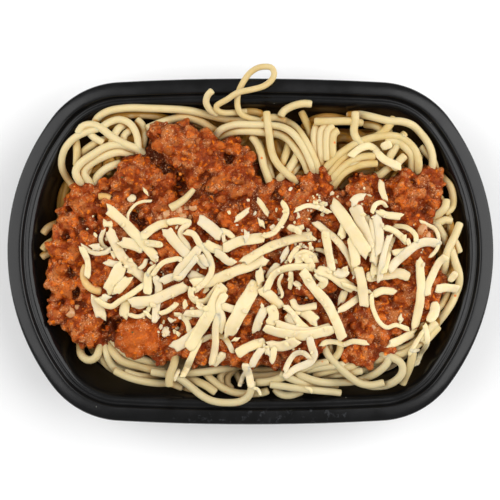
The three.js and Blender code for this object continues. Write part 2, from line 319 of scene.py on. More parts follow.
def strand_tree():
    """Sweeps a round section along every wire, as thick as the wire's girth says."""
    tree, given = new_tree("sweep_strands", {"Radius": 1.3 * MM, "Sides": 10})
    curve = add(tree, "GeometryNodeMeshToCurve", {"Mesh": given["Geometry"]})
    girth = add(tree, "GeometryNodeInputNamedAttribute", {"Name": "girth"}, data_type="FLOAT")
    ring = add(tree, "GeometryNodeCurvePrimitiveCircle",
               {"Resolution": given["Sides"], "Radius": given["Radius"]})
    swept = add(tree, "GeometryNodeCurveToMesh",
                {"Curve": curve.outputs[0], "Profile Curve": ring.outputs[0],
                 "Scale": girth.outputs["Attribute"], "Fill Caps": True})
    return close_tree(tree, swept.outputs[0], given)


def relief_tree():
    """Pushes a surface out in lumps and grains, and keeps a tone for each lump as an attribute."""
    tree, given = new_tree("mince_relief", {
        "Lump Size": 2.7, "Lump Height": 1.2, "Grain Size": 1.5, "Grain Height": 0.35})
    in_mm = position_in_mm(tree)
    drift = add(tree, "ShaderNodeTexNoise", {"Vector": in_mm, "Scale": 0.35, "Detail": 2.0})
    shift = scaled(tree, drift.outputs["Color"], 2.4)
    place = add(tree, "ShaderNodeVectorMath", {0: in_mm, 1: shift}).outputs[0]

    def domes(size, height):
        cells = add(tree, "ShaderNodeTexVoronoi", {
            "Vector": place, "Scale": maths(tree, "DIVIDE", 1.0, size), "Smoothness": 0.35,
            "Randomness": 1.0}, feature="SMOOTH_F1")
        dome = maths(tree, "SUBTRACT", 0.45, cells.outputs["Distance"])
        return maths(tree, "MULTIPLY", dome, height), cells.outputs["Color"]

    lumps, lot = domes(given["Lump Size"], given["Lump Height"])
    small, _ = domes(given["Grain Size"], given["Grain Height"])
    one_tone = add(tree, "FunctionNodeSeparateColor", {0: lot})
    kept = add(tree, "GeometryNodeStoreNamedAttribute", {
        "Geometry": given["Geometry"], "Name": "lump_tone", "Value": one_tone.outputs[0]},
        data_type="FLOAT", domain="POINT")
    normal = add(tree, "GeometryNodeInputNormal").outputs[0]
    offset = scaled(tree, scaled(tree, normal, maths(tree, "ADD", lumps, small)), MM)
    moved = add(tree, "GeometryNodeSetPosition", {"Geometry": kept.outputs[0], "Offset": offset})
    return close_tree(tree, moved.outputs[0], given)


def scatter_tree():
    """Strews small uneven grains over the faces that look up."""
    tree, given = new_tree("strew_grains", {
        "Density": 10.0, "Smallest": 0.5 * MM, "Largest": 1.3 * MM, "Stretch": 1.0, "Seed": 1})
    normal = add(tree, "GeometryNodeInputNormal")
    up = add(tree, "ShaderNodeSeparateXYZ", {0: normal.outputs[0]})
    looks_up = add(tree, "FunctionNodeCompare", {0: up.outputs["Z"], 1: 0.35}, data_type="FLOAT",
                   operation="GREATER_THAN")
    spots = add(tree, "GeometryNodeDistributePointsOnFaces", {
        "Mesh": given["Geometry"], "Selection": looks_up.outputs[0], "Density": given["Density"],
        "Seed": given["Seed"]})
    ball = add(tree, "GeometryNodeMeshIcoSphere", {"Radius": 1.0, "Subdivisions": 1})
    size = add(tree, "FunctionNodeRandomValue", {
        "Min": given["Smallest"], "Max": given["Largest"], "Seed": given["Seed"]}, data_type="FLOAT")
    longer = maths(tree, "MULTIPLY", size.outputs[1], given["Stretch"])
    scale = add(tree, "ShaderNodeCombineXYZ", {0: longer, 1: size.outputs[1], 2: size.outputs[1]})
    turn = add(tree, "FunctionNodeRandomValue", {
        0: (0.0, 0.0, 0.0), 1: (0.9, 0.9, 6.28), "Seed": 7}, data_type="FLOAT_VECTOR")
    grains = add(tree, "GeometryNodeInstanceOnPoints", {
        "Points": spots.outputs[0], "Instance": ball.outputs[0], "Rotation": turn.outputs[0],
        "Scale": scale.outputs[0]})
    tone = add(tree, "FunctionNodeRandomValue", {"Seed": 3}, data_type="FLOAT")
    toned = add(tree, "GeometryNodeStoreNamedAttribute", {
        "Geometry": grains.outputs[0], "Name": "tone", "Value": tone.outputs[1]},
        data_type="FLOAT", domain="INSTANCE")
    real = add(tree, "GeometryNodeRealizeInstances", {"Geometry": toned.outputs[0]})
    bumps = add(tree, "ShaderNodeTexNoise", {"Vector": position_in_mm(tree), "Scale": 0.8, "Detail": 1.0})
    centred = add(tree, "ShaderNodeVectorMath", {0: bumps.outputs["Color"], 1: (-0.5, -0.5, -0.5)})
    uneven = add(tree, "GeometryNodeSetPosition", {
        "Geometry": real.outputs[0], "Offset": scaled(tree, centred.outputs[0], 1.1 * MM)})
    return close_tree(tree, uneven.outputs[0], given)


# ------------------------------------------------------------------ materials


def new_material(name, **settings):
    """A material with its Principled shader's plain settings; its tree, shader and place in mm too."""
    made = bpy.data.materials.new(name)
    made.use_nodes = True
    tree = made.node_tree
    shader = tree.nodes["Principled BSDF"]
    for key, value in settings.items():
        shader.inputs[key.replace("_", " ")].default_value = value
    place = scaled(tree, add(tree, "ShaderNodeTexCoord").outputs["Object"], 1 / MM)
    return made, tree, shader, place


def mixed(tree, factor, a, b):
    """Two colours mixed; a colour is a socket or a hex text."""
    made = add(tree, "ShaderNodeMix", data_type="RGBA")
    for socket, value in ((0, factor), (6, a), (7, b)):
        if isinstance(value, bpy.types.NodeSocket):
            tree.links.new(value, made.inputs[socket])
        else:
            made.inputs[socket].default_value = hex_colour(value)
    return made.outputs[2]


def mapped(tree, value, low, high, to_low=0.0, to_high=1.0):
    return add(tree, "ShaderNodeMapRange", {
        "Value": value, "From Min": low, "From Max": high, "To Min": to_low, "To Max": to_high}).outputs[0]


def tint(tree, colour, value, low, high, most, over):
    """Lays a colour over another, from none of it to most as a value goes from low to high."""
    return mixed(tree, mapped(tree, value, low, high, 0.0, most), colour, over)


def noise(tree, vector, size_mm, detail=2.0, rough=0.5):
    return add(tree, "ShaderNodeTexNoise", {
        "Vector": vector, "Scale": 1 / size_mm, "Detail": detail, "Roughness": rough}).outputs[0]


def spots_of(tree, place, size_mm):
    """Distance from, and a colour for, the nearest of many scattered spots."""
    return add(tree, "ShaderNodeTexVoronoi", {"Vector": place, "Scale": 1 / size_mm}, feature="F1").outputs


def attribute(tree, name):
    return add(tree, "ShaderNodeAttribute", attribute_name=name).outputs["Fac"]


def bump(tree, shader, height, depth_mm, strength=0.5):
    made = add(tree, "ShaderNodeBump", {"Height": height, "Distance": depth_mm * MM, "Strength": strength})
    tree.links.new(made.outputs[0], shader.inputs["Normal"])


def black_polypropylene():
    """Thermoformed polypropylene: near black, satin, with soft long reflections and faint scuffs."""
    made, tree, shader, place = new_material("thermoformed_polypropylene", Roughness=0.2, IOR=1.37)
    cloud = noise(tree, place, 9, 3)
    shade = mixed(tree, mapped(tree, cloud, 0.35, 0.7), "#0b0b0b", "#101011")
    shade = tint(tree, shade, spots_of(tree, place, 9)["Distance"], 0.035, 0.025, 1.0, "#55554e")
    # Grey smears where the near rim was wiped.
    parts = add(tree, "ShaderNodeSeparateXYZ", {0: place}).outputs
    near_rim = mapped(tree, parts["Y"], -64.2, -65.4)
    long_way = maths(tree, "COMPARE", parts["X"], 4.0, 36.0)
    wiped = mapped(tree, noise(tree, place, 2.6, 4, 0.7), 0.56, 0.72, 0.0, 0.5)
    smear = maths(tree, "MULTIPLY", maths(tree, "MULTIPLY", near_rim, wiped), long_way)
    tree.links.new(mixed(tree, smear, shade, "#4a4c50"), shader.inputs["Base Color"])
    tree.links.new(mapped(tree, cloud, 0.3, 0.7, 0.16, 0.26), shader.inputs["Roughness"])
    bump(tree, shader, noise(tree, place, 2.5, 3), 0.02)
    return made


def cooked_pasta(name, pale, mid, warm):
    """Boiled durum wheat pasta: moist and slightly see-through, so it glows softly and shines dully."""
    made, tree, shader, place = new_material(
        name, Roughness=0.4, IOR=1.4, Subsurface_Weight=0.4, Subsurface_Scale=0.9 * MM,
        Subsurface_Radius=(1.0, 0.7, 0.4), Specular_IOR_Level=0.3)
    both = maths(tree, "ADD", attribute(tree, "tone"), noise(tree, place, 5, 3))
    colour = ramp(tree, mapped(tree, both, 0.5, 1.5), [(0, mid), (0.55, pale), (1, warm)])
    # Painted shade: strands that lie below their neighbours, and strands low in the heap, are darkened to a
    # warm brown.
    parts = add(tree, "ShaderNodeSeparateXYZ", {0: place}).outputs
    colour = tint(tree, colour, attribute(tree, "pit"), -0.1, 1.5, 0.92, "#b98228")
    colour = tint(tree, colour, parts["Z"], 38.5, 31.0, 0.85, "#b47e2d")
    # A few drops of orange oil.
    oil = spots_of(tree, place, 5)
    near = mapped(tree, oil["Distance"], 0.13, 0.07)
    chosen = add(tree, "ShaderNodeSeparateColor", {0: oil["Color"]}).outputs["Red"]
    drop = maths(tree, "MULTIPLY", near, mapped(tree, chosen, 0.78, 0.81))
    colour = mixed(tree, drop, colour, "#d9772c")
    # Painted shade: the strands towards the near rim are greyed and darkened.
    colour = tint(tree, colour, parts["Y"], -32, -48, 0.55, "#b2a682")
    tree.links.new(colour, shader.inputs["Base Color"])
    bump(tree, shader, noise(tree, place, 0.8, 2), 0.05)
    return made


def meat_sauce(name, loose=False):
    """Minced beef simmered in tomato: pale flecks of meat, some of them painted glints, in an orange-red
    gloss, with painted shade in the pits and hollows and painted light on the crests.
    """
    made, tree, shader, place = new_material(
        name, IOR=1.45, Subsurface_Weight=0.12, Subsurface_Scale=1.2 * MM,
        Subsurface_Radius=(1.0, 0.35, 0.12), Specular_IOR_Level=0.26, Specular_Tint=hex_colour("#ffd9b8"))
    clump, patch = noise(tree, place, 11, 2), noise(tree, place, 2.8, 3)
    grain, fleck = noise(tree, place, 0.9, 2, 0.6), noise(tree, place, 0.6, 2, 0.6)
    both = maths(tree, "ADD", clump, patch)
    colour = ramp(tree, mapped(tree, both, 0.75, 1.28), [(0, "#862f08"), (0.5, "#ae470c"), (1, "#ce6117")])
    lot = attribute(tree, "tone" if loose else "lump_tone")
    colour = tint(tree, colour, lot, 0.54, 0.66, 0.8, mixed(tree, grain, "#944217", "#bb7845"))
    colour = tint(tree, colour, lot, 0.36, 0.24, 0.6, "#6f2408")
    if not loose:
        # Partly real, as sauce pools low and paler meat shows on top; partly painted light: crests are
        # lightened with painted light, and pits and hollows darkened with painted shade.
        pit, hollow = attribute(tree, "pit"), attribute(tree, "hollow")
        colour = tint(tree, colour, pit, -0.05, -0.6, 0.3, "#cf7f3a")
        colour = tint(tree, colour, pit, -0.05, 0.75, 0.8, "#782a08")
        colour = tint(tree, colour, hollow, 0.5, 2.8, 0.9, "#461705")
    # Painted shade in the fine crevices: darker where the fine grain noise is low, where the bump also
    # sinks.
    colour = tint(tree, colour, grain, 0.46, 0.34, 0.75, "#652105")
    colour = tint(tree, colour, noise(tree, place, 2.0, 1), 0.62, 0.7, 0.9, "#dc7012")
    if not loose:
        away = add(tree, "ShaderNodeVectorMath", {0: place, 1: (*SMOOTH_MIDDLE, 43)}, operation="DISTANCE")
        colour = tint(tree, colour, away.outputs["Value"], 10.5, 7.5, 0.4, "#c25710")
    # Pale specks, most on the pale lumps: partly meat fibres, partly painted glints.
    crowd = mapped(tree, lot, 0.4, 0.62, 0.1, 0.9)
    fibre_specks_and_painted_glints = maths(tree, "MULTIPLY", mapped(tree, fleck, 0.585, 0.66), crowd)
    tree.links.new(mixed(tree, fibre_specks_and_painted_glints, colour, "#ddab84"), shader.inputs["Base Color"])
    tree.links.new(mapped(tree, patch, 0.35, 0.65, 0.24, 0.44), shader.inputs["Roughness"])
    bump(tree, shader, maths(tree, "ADD", grain, fleck), 0.4, 1.0)
    return made


def young_cheese(name, glow_mm):
    """Grated young cheese: soft, waxy and cream, with slightly torn faces and light inside it."""
    made, tree, shader, place = new_material(
        name, Roughness=0.5, IOR=1.45, Subsurface_Weight=0.6, Subsurface_Scale=glow_mm * MM,
        Subsurface_Radius=(1.0, 0.85, 0.55), Specular_IOR_Level=0.3)
    both = maths(tree, "ADD", attribute(tree, "tone"), noise(tree, place, 4, 3))
    colour = ramp(tree, mapped(tree, both, 0.4, 1.6),
                  [(0, "#dccfb2"), (0.35, "#dfcda6"), (0.7, "#e3d1a2"), (1, "#e7d6b0")])
    # Painted shade: shreds that lie below their neighbours turn a deeper yellow.
    colour = tint(tree, colour, attribute(tree, "pit"), 0.6, 3.2, 0.6, "#e0b95e")
    tree.links.new(colour, shader.inputs["Base Color"])
    bump(tree, shader, noise(tree, place, 1.0, 3), 0.12)
    return made


def plain_food(name, colour_a, colour_b, roughness):
    """Small soft pieces such as carrot and herbs, in two close shades."""
    made, tree, shader, place = new_material(
        name, Roughness=roughness, IOR=1.45, Subsurface_Weight=0.2, Subsurface_Scale=1.0 * MM)
    tree.links.new(mixed(tree, noise(tree, place, 1.2, 2), colour_a, colour_b), shader.inputs["Base Color"])
    bump(tree, shader, noise(tree, place, 0.6, 2), 0.08)
    return made


def pale_floor():
    """Smooth matt paper under the tray."""
    made, tree, shader, place = new_material("matt_white_paper", Roughness=0.9, Specular_IOR_Level=0.1)
    tree.links.new(mixed(tree, noise(tree, place, 60, 2), "#f4f4f4", "#f7f7f7"), shader.inputs["Base Color"])
    return made


# The smooth orange lump: the middle and half-sizes of its outline, and the balls it is made of,
# each with its middle and its three half-sizes.
SMOOTH_MIDDLE = (-46, -35.5)
SMOOTH_HALF = (10, 8.5)
SMOOTH_BALLS = [
    (*SMOOTH_MIDDLE, SMOOTH_HALF[0] * 0.9, SMOOTH_HALF[1] * 0.86, 7.4), (-51, -37, 5, 4.6, 7),
    (-40.3, -39, 5, 4.4, 6.5), (-43.5, -30.5, 5.2, 4.4, 7), (-47.5, -40.5, 5, 4, 6.6),
    (-50, -31.5, 4.6, 4, 6.8),
]
SMOOTH_LEVEL = 38.3

BLACK = black_polypropylene()
PASTA = cooked_pasta("boiled_durum_pasta", "#d4c08e", "#caae6f", "#d9c799")
SAUCED_PASTA = cooked_pasta("pasta_in_tomato_oil", "#dcb878", "#d0a056", "#e4ca94")
SAUCE = meat_sauce("simmered_mince_in_tomato")
GRAINS = meat_sauce("loose_mince_grains", loose=True)
CHEESE = young_cheese("grated_young_cheese", 1.3)
CHEESE_CRUMB = young_cheese("crumbled_young_cheese", 0.4)
CARROT = plain_food("cooked_carrot", "#e07a1e", "#ec9438", 0.4)
ONION = plain_food("softened_onion", "#b8783f", "#cfa377", 0.25)
HERB = plain_food("dried_oregano", "#4a4c22", "#5f6030", 0.7)

# ------------------------------------------------------------------ tray


def chaikin(points, rounds):
    """Cuts the corners of a line to round it, and keeps its ends."""
    p = np.asarray(points, float)
    for _ in range(rounds):
        a, b = p[:-1], p[1:]
        cut = np.stack([a * 0.75 + b * 0.25, a * 0.25 + b * 0.75], 1).reshape(-1, 2)
        p = np.vstack([p[:1], cut[1:-1], p[-1:]])
    return p


def tray_piece():
    """The thin skin, swept round the rim's outline and closed by the flat floor."""
    inner = chaikin(TRAY_PROFILE, 2)
    along = np.gradient(inner, axis=0)
    along /= np.linalg.norm(along, axis=1)[:, None]
    outer = inner + np.column_stack([-along[:, 1], along[:, 0]]) * WALL
    outer[0] = (BASE_INSET, 0.0)
    outer[:, 1] = np.maximum(outer[:, 1], 0.0)
    # All but its last points stay a little inside the rim.
    outer[:, 0] = np.maximum(outer[:, 0], WALL * (np.arange(len(outer)) < len(outer) - 3) * 0.2)
    section = np.vstack([outer, inner[::-1]])
    angles = []
    for start, stop, steps in ((0, CORNER_ANGLE, 20), (CORNER_ANGLE, SIDE_ANGLE, 26),
                               (SIDE_ANGLE, math.pi / 2, 6)):
        angles += list(np.linspace(start, stop, steps, endpoint=False))
    angles = angles + [math.pi / 2] + [math.pi - a for a in reversed(angles[1:])]
    angles = angles + [a + math.pi for a in angles]
    points = [(*outline_point(a, inset), z) for inset, z in section for a in angles]
    faces = tube_faces(len(section), len(angles))
    return new_piece("tray_skin", mesh_from("tray_skin", points, faces), BLACK)


# ------------------------------------------------------------------ spaghetti

# The sauce's edge over the pasta, clockwise from the far left.
SAUCE_EDGE = [
    (-54.5, 40.5), (-48, 41.5), (-43.5, 42.5), (-43.3, 48), (-41.5, 52.8), (-37, 53.2), (-30, 54.3),
    (-23, 53.8), (-20, 50.5), (-14.5, 50), (-12, 47), (-8.5, 49.3), (-4, 48), (-4, 45.3), (0.5, 43),
    (3, 37.5), (4.7, 31), (7, 29.3), (11, 31.5), (15, 30.5), (20, 32), (24, 34.5), (31.5, 34.8),
    (33.5, 31.5), (35.5, 29), (38, 27), (40.5, 30), (42, 33.8), (47, 33), (53, 33), (56, 30.8), (60, 33),
    (64, 36), (67.5, 33.8), (71.5, 37.3), (77, 36), (81.3, 31.8), (80.5, 24), (77.8, 18), (77, 12),
    (76.2, 8), (78.3, 2), (77.5, -4), (81, -8), (82.8, -12), (82, -17.5), (77.5, -20.5), (77.5, -25),
    (72, -30), (67, -35), (61, -41), (54, -43), (51, -48), (46, -49), (38, -46.5), (35.5, -44), (37, -39),
    (33, -37), (30, -42), (28, -45.5), (21, -48), (19, -51), (13, -49.5), (4, -48.5), (-5, -49.5),
    (-13, -48), (-24, -48), (-28, -45), (-33, -43.5), (-34, -48.5), (-37.5, -48), (-39.5, -44.5),
    (-48, -43), (-55, -41), (-66, -41), (-74, -39.3), (-78, -32.5), (-83, -28.5), (-85, -20),
    (-84.2, -16.5), (-86.5, -9), (-84, -1), (-83.5, 6), (-81, 15), (-78, 23), (-73, 29), (-67, 30.5),
    (-65.5, 28), (-63, 30.8), (-57.5, 31.8), (-55.3, 36),
]
STRAND_RADIUS = 1.6
STRAND_STEP = 1.0
STRAND_BEND = 8
# The solid middle of the heap: its height at the rim and in the middle, and where it rises.
CORE_LOW, CORE_HIGH = 19.0, 32.0
CORE_RISE_FROM, CORE_RISE_OVER = 17, 16
CORE_INSET = 18.5
CORE_SIDES = 120
GAP_DEPTH = 9
FILLER_TRIES = 1500
FILLER_TOP = 38.5
# The strands' middles are pressed below this height.
HEAP_TOP = 42.6
# An end that reaches the sauce dips by this much over this many steps.
DIP, DIP_STEPS = 5.0, 10
# Dark gaps between the strands: middle and radius.
GAPS = [
    (-72.5, 39.5, 4.5), (-58, 47.3, 2.5), (66, 50, 5.5), (-7, -53.5, 3), (55, -49, 4.5), (-66, -51, 9),
    (72, -50, 9), (49, 51, 2.5), (34.8, 43.5, 1.5), (60, 38, 2), (13, 43, 2), (17, 42, 1.6), (-85, 18, 6),
    (-86, -20, 6), (88, 20, 4), (86, -32, 6), (-56, -55, 7), (30, 60, 4), (52, 60, 4), (-70, 47, 3),
]

# Strands that show, from the lowest to the highest.
STRANDS = [
    # far left corner, deep
    [(-80.8, 14), (-80.3, 21), (-78.8, 26.5), (-76, 31)],
    [(-79, 18), (-77.8, 24), (-76.5, 29)],
    [(-73, 36), (-69, 41), (-63, 44.8), (-57, 47)],
    [(-71.5, 35), (-71.3, 41), (-71.8, 46)],
    [(-66, 48.5), (-63.5, 46.3), (-60, 44.5)],
    [(-86.8, -2.5), (-84.5, -1), (-80, 0)],
    [(-86, 0.5), (-84, 3), (-80, 5.5)],
    [(-86.2, 7.2), (-84, 10), (-79, 12.5)],
    # far side, deep
    [(22, 52), (26, 55), (31, 56.2), (37, 55.8), (42, 54.5)],
    [(44, 51), (47.5, 48.5), (52, 46)],
    [(47, 52.6), (52, 51.4), (55.5, 48), (57, 44)],
    [(35, 45), (39, 45.5), (44, 44.5)],
    [(28, 49.5), (34, 49.5), (41, 48.5)],
    [(35, 46.8), (40, 47), (45, 45.4), (50, 42.8)],
    [(37, 43), (43, 43), (49, 41)],
    [(10, 31), (15, 33.5), (21, 32.5), (25, 31)],
    [(36, 28), (39, 31.5), (44, 34.5), (50, 35.5)],
    [(7.2, 46), (7.3, 40), (8.2, 33)],
    [(2.5, 46.5), (5, 41), (7, 36), (8.8, 30)],
    [(10.3, 46), (12, 41), (13.5, 36), (14, 31)],
    [(22, 42), (20.3, 37), (17.5, 33), (14, 28.5)],
    [(24.3, 50), (23.5, 44), (24, 38), (25.5, 31)],
    [(60.5, 45), (62.3, 47.3), (63.6, 48.6)],
    [(54, 32), (57, 34.5), (60, 35)],
    # right side, deep
    [(76, -24), (79, -22), (81, -18.5), (82, -14)],
    [(77, 11.5), (80, 13), (83, 12.4)],
    [(77.5, 9.5), (79.5, 6), (81, 3)],
    # near side, deep
    [(-2, -46.5), (4, -47.3), (10, -46.8), (16, -45)],
    [(-3, -49.5), (3, -49.6), (9, -49), (15, -47.4), (21, -45)],
    [(-1, -51.8), (5, -51.8), (11, -51), (16, -49.5)],
    [(35, -35), (34.3, -40), (33.6, -46)],
    [(32.2, -36), (33, -42), (35.4, -47)],
    [(44, -46.5), (50, -46.3), (56, -44.5)],
    [(36, -52), (41, -51), (46, -48.5)],
    [(-6.5, -50), (-5, -53), (-3.5, -56)],
    [(-7, -49.5), (-9.3, -52), (-9.6, -55), (-7.5, -57.5)],
    [(10, -56.5), (12.5, -58.8), (16.5, -59.2), (21.5, -57.6)],
    [(30, -52), (36, -50.5), (42, -49.5), (46, -49)],
    [(26, -51), (32, -49), (38, -47.8), (43, -47)],
    [(22, -49), (28, -47.5), (34, -46.8), (40, -46)],
    [(-62.5, -40), (-60.5, -45.5), (-57.5, -48.8), (-53, -51.3)],
    [(37, -37), (36.5, -41), (34, -44)],
    [(-31, -54), (-27, -56.5), (-22, -57.5)],
    # middle layers
    [(-62, 54), (-57, 56), (-50, 56.6), (-43, 56.6), (-36, 55.8), (-30, 54)],
    [(-57, 42), (-56.3, 46.5), (-54, 50.5), (-51, 52.2), (-47.5, 51), (-45.5, 47)],
    [(-52.5, 44.5), (-51.5, 48), (-48.6, 50)],
    [(-47, 54.6), (-44.6, 52), (-43.6, 48.5), (-44.5, 44)],
    [(-12, 56.5), (-6, 57.3), (0, 58), (4, 57.3), (5, 55.5), (1, 54)],
    [(-31, 56.6), (-25, 56.2), (-18, 54.8), (-12, 52.8), (-6, 52.9), (0, 53.4)],
    [(-27, 54.4), (-21, 52.6), (-16, 50.4), (-11.5, 48)],
    [(-38, 52.5), (-33, 54.6), (-27, 55.6), (-21, 54), (-16, 51), (-12, 49)],
    [(16.2, 46), (15.2, 42), (13.8, 38), (12.3, 34)],
    [(20, 44), (19.3, 40), (17.5, 36.5), (15, 33), (12, 30)],
    [(-4.5, 44.5), (-1.5, 47.5), (1, 49.5)],
    [(0.5, 47.5), (3, 44), (4.5, 39.5), (5.5, 35), (7, 31), (8, 28)],
    [(21, 58), (22.6, 54.5), (24.2, 50.5), (25, 46), (26, 41)],
    [(27.5, 52.5), (26.3, 48), (26.2, 42), (27, 35)],
    [(31, 52), (28.9, 49), (28.6, 43), (29.2, 36)],
    [(34, 51.5), (31.6, 49.3), (31, 44), (31.3, 37)],
    [(36, 49.5), (33.9, 47.8), (33.4, 43), (33.8, 38)],
    [(26, 53), (33, 53.1), (40, 53.2), (46, 52.8)],
    [(58.8, 55), (56.8, 51.5), (53.5, 48.3), (49.5, 46)],
    [(56, 36.5), (58, 40.5), (60.5, 44.5), (63, 47.5)],
    [(29.5, 26), (33, 32), (36, 36.5), (40, 39.8), (45, 41), (50, 40.5)],
    [(38.8, 35.8), (43.5, 36.2), (48, 37.3), (52.5, 39)],
    [(33.5, 25.5), (36.5, 30.5), (40.5, 33.6), (46, 35.5), (52, 36)],
    [(31.5, 25.5), (35, 31.5), (39.5, 35.8), (45.5, 38.6), (51, 38.8)],
    [(80.5, 30), (82.6, 27), (83.8, 22.5), (83, 18), (79.8, 15.8)],
    [(77.5, 15.5), (79.8, 18), (80.5, 21.5)],
    [(82.5, 6), (84.5, 3), (86, -0.5)],
    [(82, 2), (83, -2), (84.3, -6.3)],
    [(82, 1), (83.6, -4), (85.4, -9), (85.6, -14), (83.8, -19.5), (80.5, -25), (77, -30), (73.5, -35),
     (71, -39)],
    [(58, -41), (64, -39.5), (69, -36.5), (73.5, -32.5)],
    [(52, -45), (57, -43.2), (63, -41.5), (68, -38.5), (72, -35)],
    [(-71.3, -39), (-69.8, -43), (-66.5, -44.8), (-63.3, -43.3), (-61.8, -39)],
    [(-59.5, -40), (-58, -45), (-55.5, -48.5), (-50, -50.3)],
    [(8, -53.5), (13, -51.8), (19, -49), (26, -46.3), (32, -45)],
    [(2, -53.8), (8, -53.2), (14, -51), (20, -48)],
    [(12, -50), (18, -52.5), (25, -54.6), (31, -55.5), (37, -56)],
    [(-52, -49.5), (-46, -51.5), (-41, -52), (-35, -51.5)],
    [(-8, -48.5), (-11, -49.7), (-12.6, -52.5), (-12, -55.5)],
    [(-19, -50), (-16, -53), (-12, -56), (-7, -58.2), (-1, -58.8), (4.5, -58.2), (7.5, -57.2)],
    [(8, -54.3), (15, -55.3), (22, -56.2), (30, -57.2), (37.5, -58.4)],
    # upper layers
    [(-64.5, 25), (-63.5, 30), (-60, 33.5), (-55, 35.8), (-50, 36.5)],
    [(-66, 28), (-68.5, 32.5), (-65.5, 36), (-60, 38.8), (-54.5, 40.6), (-50, 40.5)],
    [(-69, 27), (-71.5, 32), (-69.5, 36), (-64, 39.8), (-58.5, 42.8), (-53, 43.6), (-47, 42)],
    [(-64.5, 52.5), (-62.5, 55.5), (-57.5, 58), (-50, 59), (-42, 58.9), (-34, 58.7), (-26, 58.2),
     (-19, 56.8), (-12, 55.2), (-5, 54), (3, 53.3)],
    [(-72, 25), (-76.5, 31), (-78, 36), (-76.5, 41.5), (-72.5, 46), (-67, 48.8), (-61.5, 50.5),
     (-57.5, 53), (-53.5, 54), (-49.5, 52.5), (-47, 49), (-46, 45), (-46, 40)],
    [(-70.5, 48), (-68.5, 51), (-64.5, 51.8), (-60.5, 50), (-56.5, 46.8), (-51.5, 44), (-47, 42.3),
     (-45, 41)],
    [(2, 51.5), (6, 54.3), (10, 55.3), (14, 54.3), (18.5, 51), (22.5, 45), (25.8, 38.5), (27.8, 33),
     (29.5, 26.5)],
    [(-13, 47.3), (-8.5, 49.3), (-2, 49.5), (5, 48.9), (11, 48.3), (15.5, 46), (19, 41.5), (22, 37),
     (24, 32), (26, 26)],
    [(-14.5, 48), (-11.5, 50.5), (-6, 52), (0, 51.9), (6, 51.8), (12, 51.3), (16.5, 49), (20, 45),
     (23, 40), (26, 33), (28, 27)],
    [(6.6, 57.3), (7, 53), (7.6, 48), (8.3, 43), (9.8, 38), (13, 33.5), (18, 29.5), (23, 27)],
    [(12.3, 55.5), (14, 58), (18, 60), (22, 60.8), (25.3, 60.5)],
    [(55, 45), (60, 44.6), (64, 41.8), (66.2, 38), (66.3, 32)],
    [(70, 43.3), (72.5, 40.8), (75.5, 37.5), (77, 34)],
    [(40.2, 56.6), (44.5, 56.6), (50, 55), (56, 53.4), (62, 53), (67, 51.3), (70.8, 47.8), (73.6, 43),
     (74.8, 38), (74.6, 32)],
    [(25.5, 26), (30, 33), (34.5, 38), (40, 42.2), (46, 45.3), (52, 46.8), (58, 47.2), (63, 45.5),
     (66.8, 41.8), (68.5, 37.5), (69, 32)],
    [(42.8, 57.2), (42.8, 53), (42.2, 49.5), (43.2, 46.3), (46, 43.5)],
    [(58.5, 33.5), (60.5, 36.5), (63.2, 39.3)],
    [(85.8, 11.8), (83.8, 7), (81.5, 2.5), (79.9, -2), (79.6, -6.5)],
    [(70.5, -37.5), (73.8, -34), (77, -30.5)],
    [(69, -36.5), (72.5, -32.5), (76, -28.8)],
    [(66.5, -41), (65.6, -45.5), (64, -50.5), (62.6, -55)],
    [(57, -40), (56.2, -45), (53, -48.8), (48.5, -51.8), (42, -53.8), (35, -54), (28, -53.2),
     (22, -51.3), (17, -49)],
    [(46, -54), (50, -55.4), (55, -55.3), (59.3, -53), (62, -49.5), (61.8, -46), (59, -43.8), (55, -42.5)],
    [(29.5, -37), (31.5, -42), (35.5, -46.5), (40, -50.6), (44.5, -53.8), (49.5, -54.7), (54.8, -53.6)],
    [(-54, -38.5), (-48, -42), (-42.5, -44.5), (-38.5, -47.8)],
    [(-57, -38), (-51, -42.2), (-45.5, -44.2), (-40.5, -46), (-37, -48.5)],
    [(-57, -40.5), (-53, -44.8), (-47, -47.2), (-41, -48.9), (-35, -49.8)],
    [(-55.8, -48.8), (-50, -51.6), (-44, -53.4), (-38, -54.5), (-33, -54.8), (-28, -56.5)],
    [(-27, -52), (-22, -53.8), (-18, -55.5), (-14.2, -58.2)],
    [(-41, -49.5), (-34, -50.5), (-27, -50.4), (-20, -49.7), (-13, -48.8), (-8, -48.3)],
    [(-32, -50.5), (-28, -53), (-24, -56.3), (-20, -59.3), (-15.5, -61.4), (-10, -62.1), (-4.5, -61.7),
     (-1, -59.6), (0.3, -56.5), (0.8, -53)],
    [(-30.6, -42.5), (-31.4, -46.5), (-33, -51), (-33.2, -55.3)],
]

# The strand that loops out over the rim, and the end that curls up over the ledge.
LOOP = [
    (-1.5, 57.8, 36.8), (-4.6, 57.4, 37.8), (-8.2, 57.0, 38.9), (-11.3, 57.0, 39.7), (-13.4, 57.7, 40.6),
    (-13.7, 59.7, 41.6), (-9.6, 62.0, 43.0), (-5.1, 64.6, 44.9), (0.2, 65.8, 44.9), (5.1, 67.2, 44.3),
    (8.4, 69.6, 43.9), (9.7, 72.5, 43.6), (8.6, 74.9, 43.5), (5.9, 75.4, 43.4), (2.7, 74.8, 43.0),
    (-0.6, 72.5, 42.5), (-3.5, 68.2, 42.0), (-5.1, 64.1, 41.9), (-5.3, 59.8, 41.2), (-4.0, 56.6, 40.4),
    (-1.0, 54.9, 39.8), (3.0, 54.0, 39.2), (6.5, 52.6, 38.6),
]
CURLED_END = [
    (-15.5, 65.6, 44.0), (-17.5, 63.6, 42.8), (-18.1, 60.9, 41.4), (-16.9, 58.6, 40.2), (-15.2, 57.3, 39.2),
    (-13.4, 56.6, 38.2),
]
LOOP_RADIUS = 1.32
CURLED_END_RADIUS = LOOP_RADIUS + 0.1


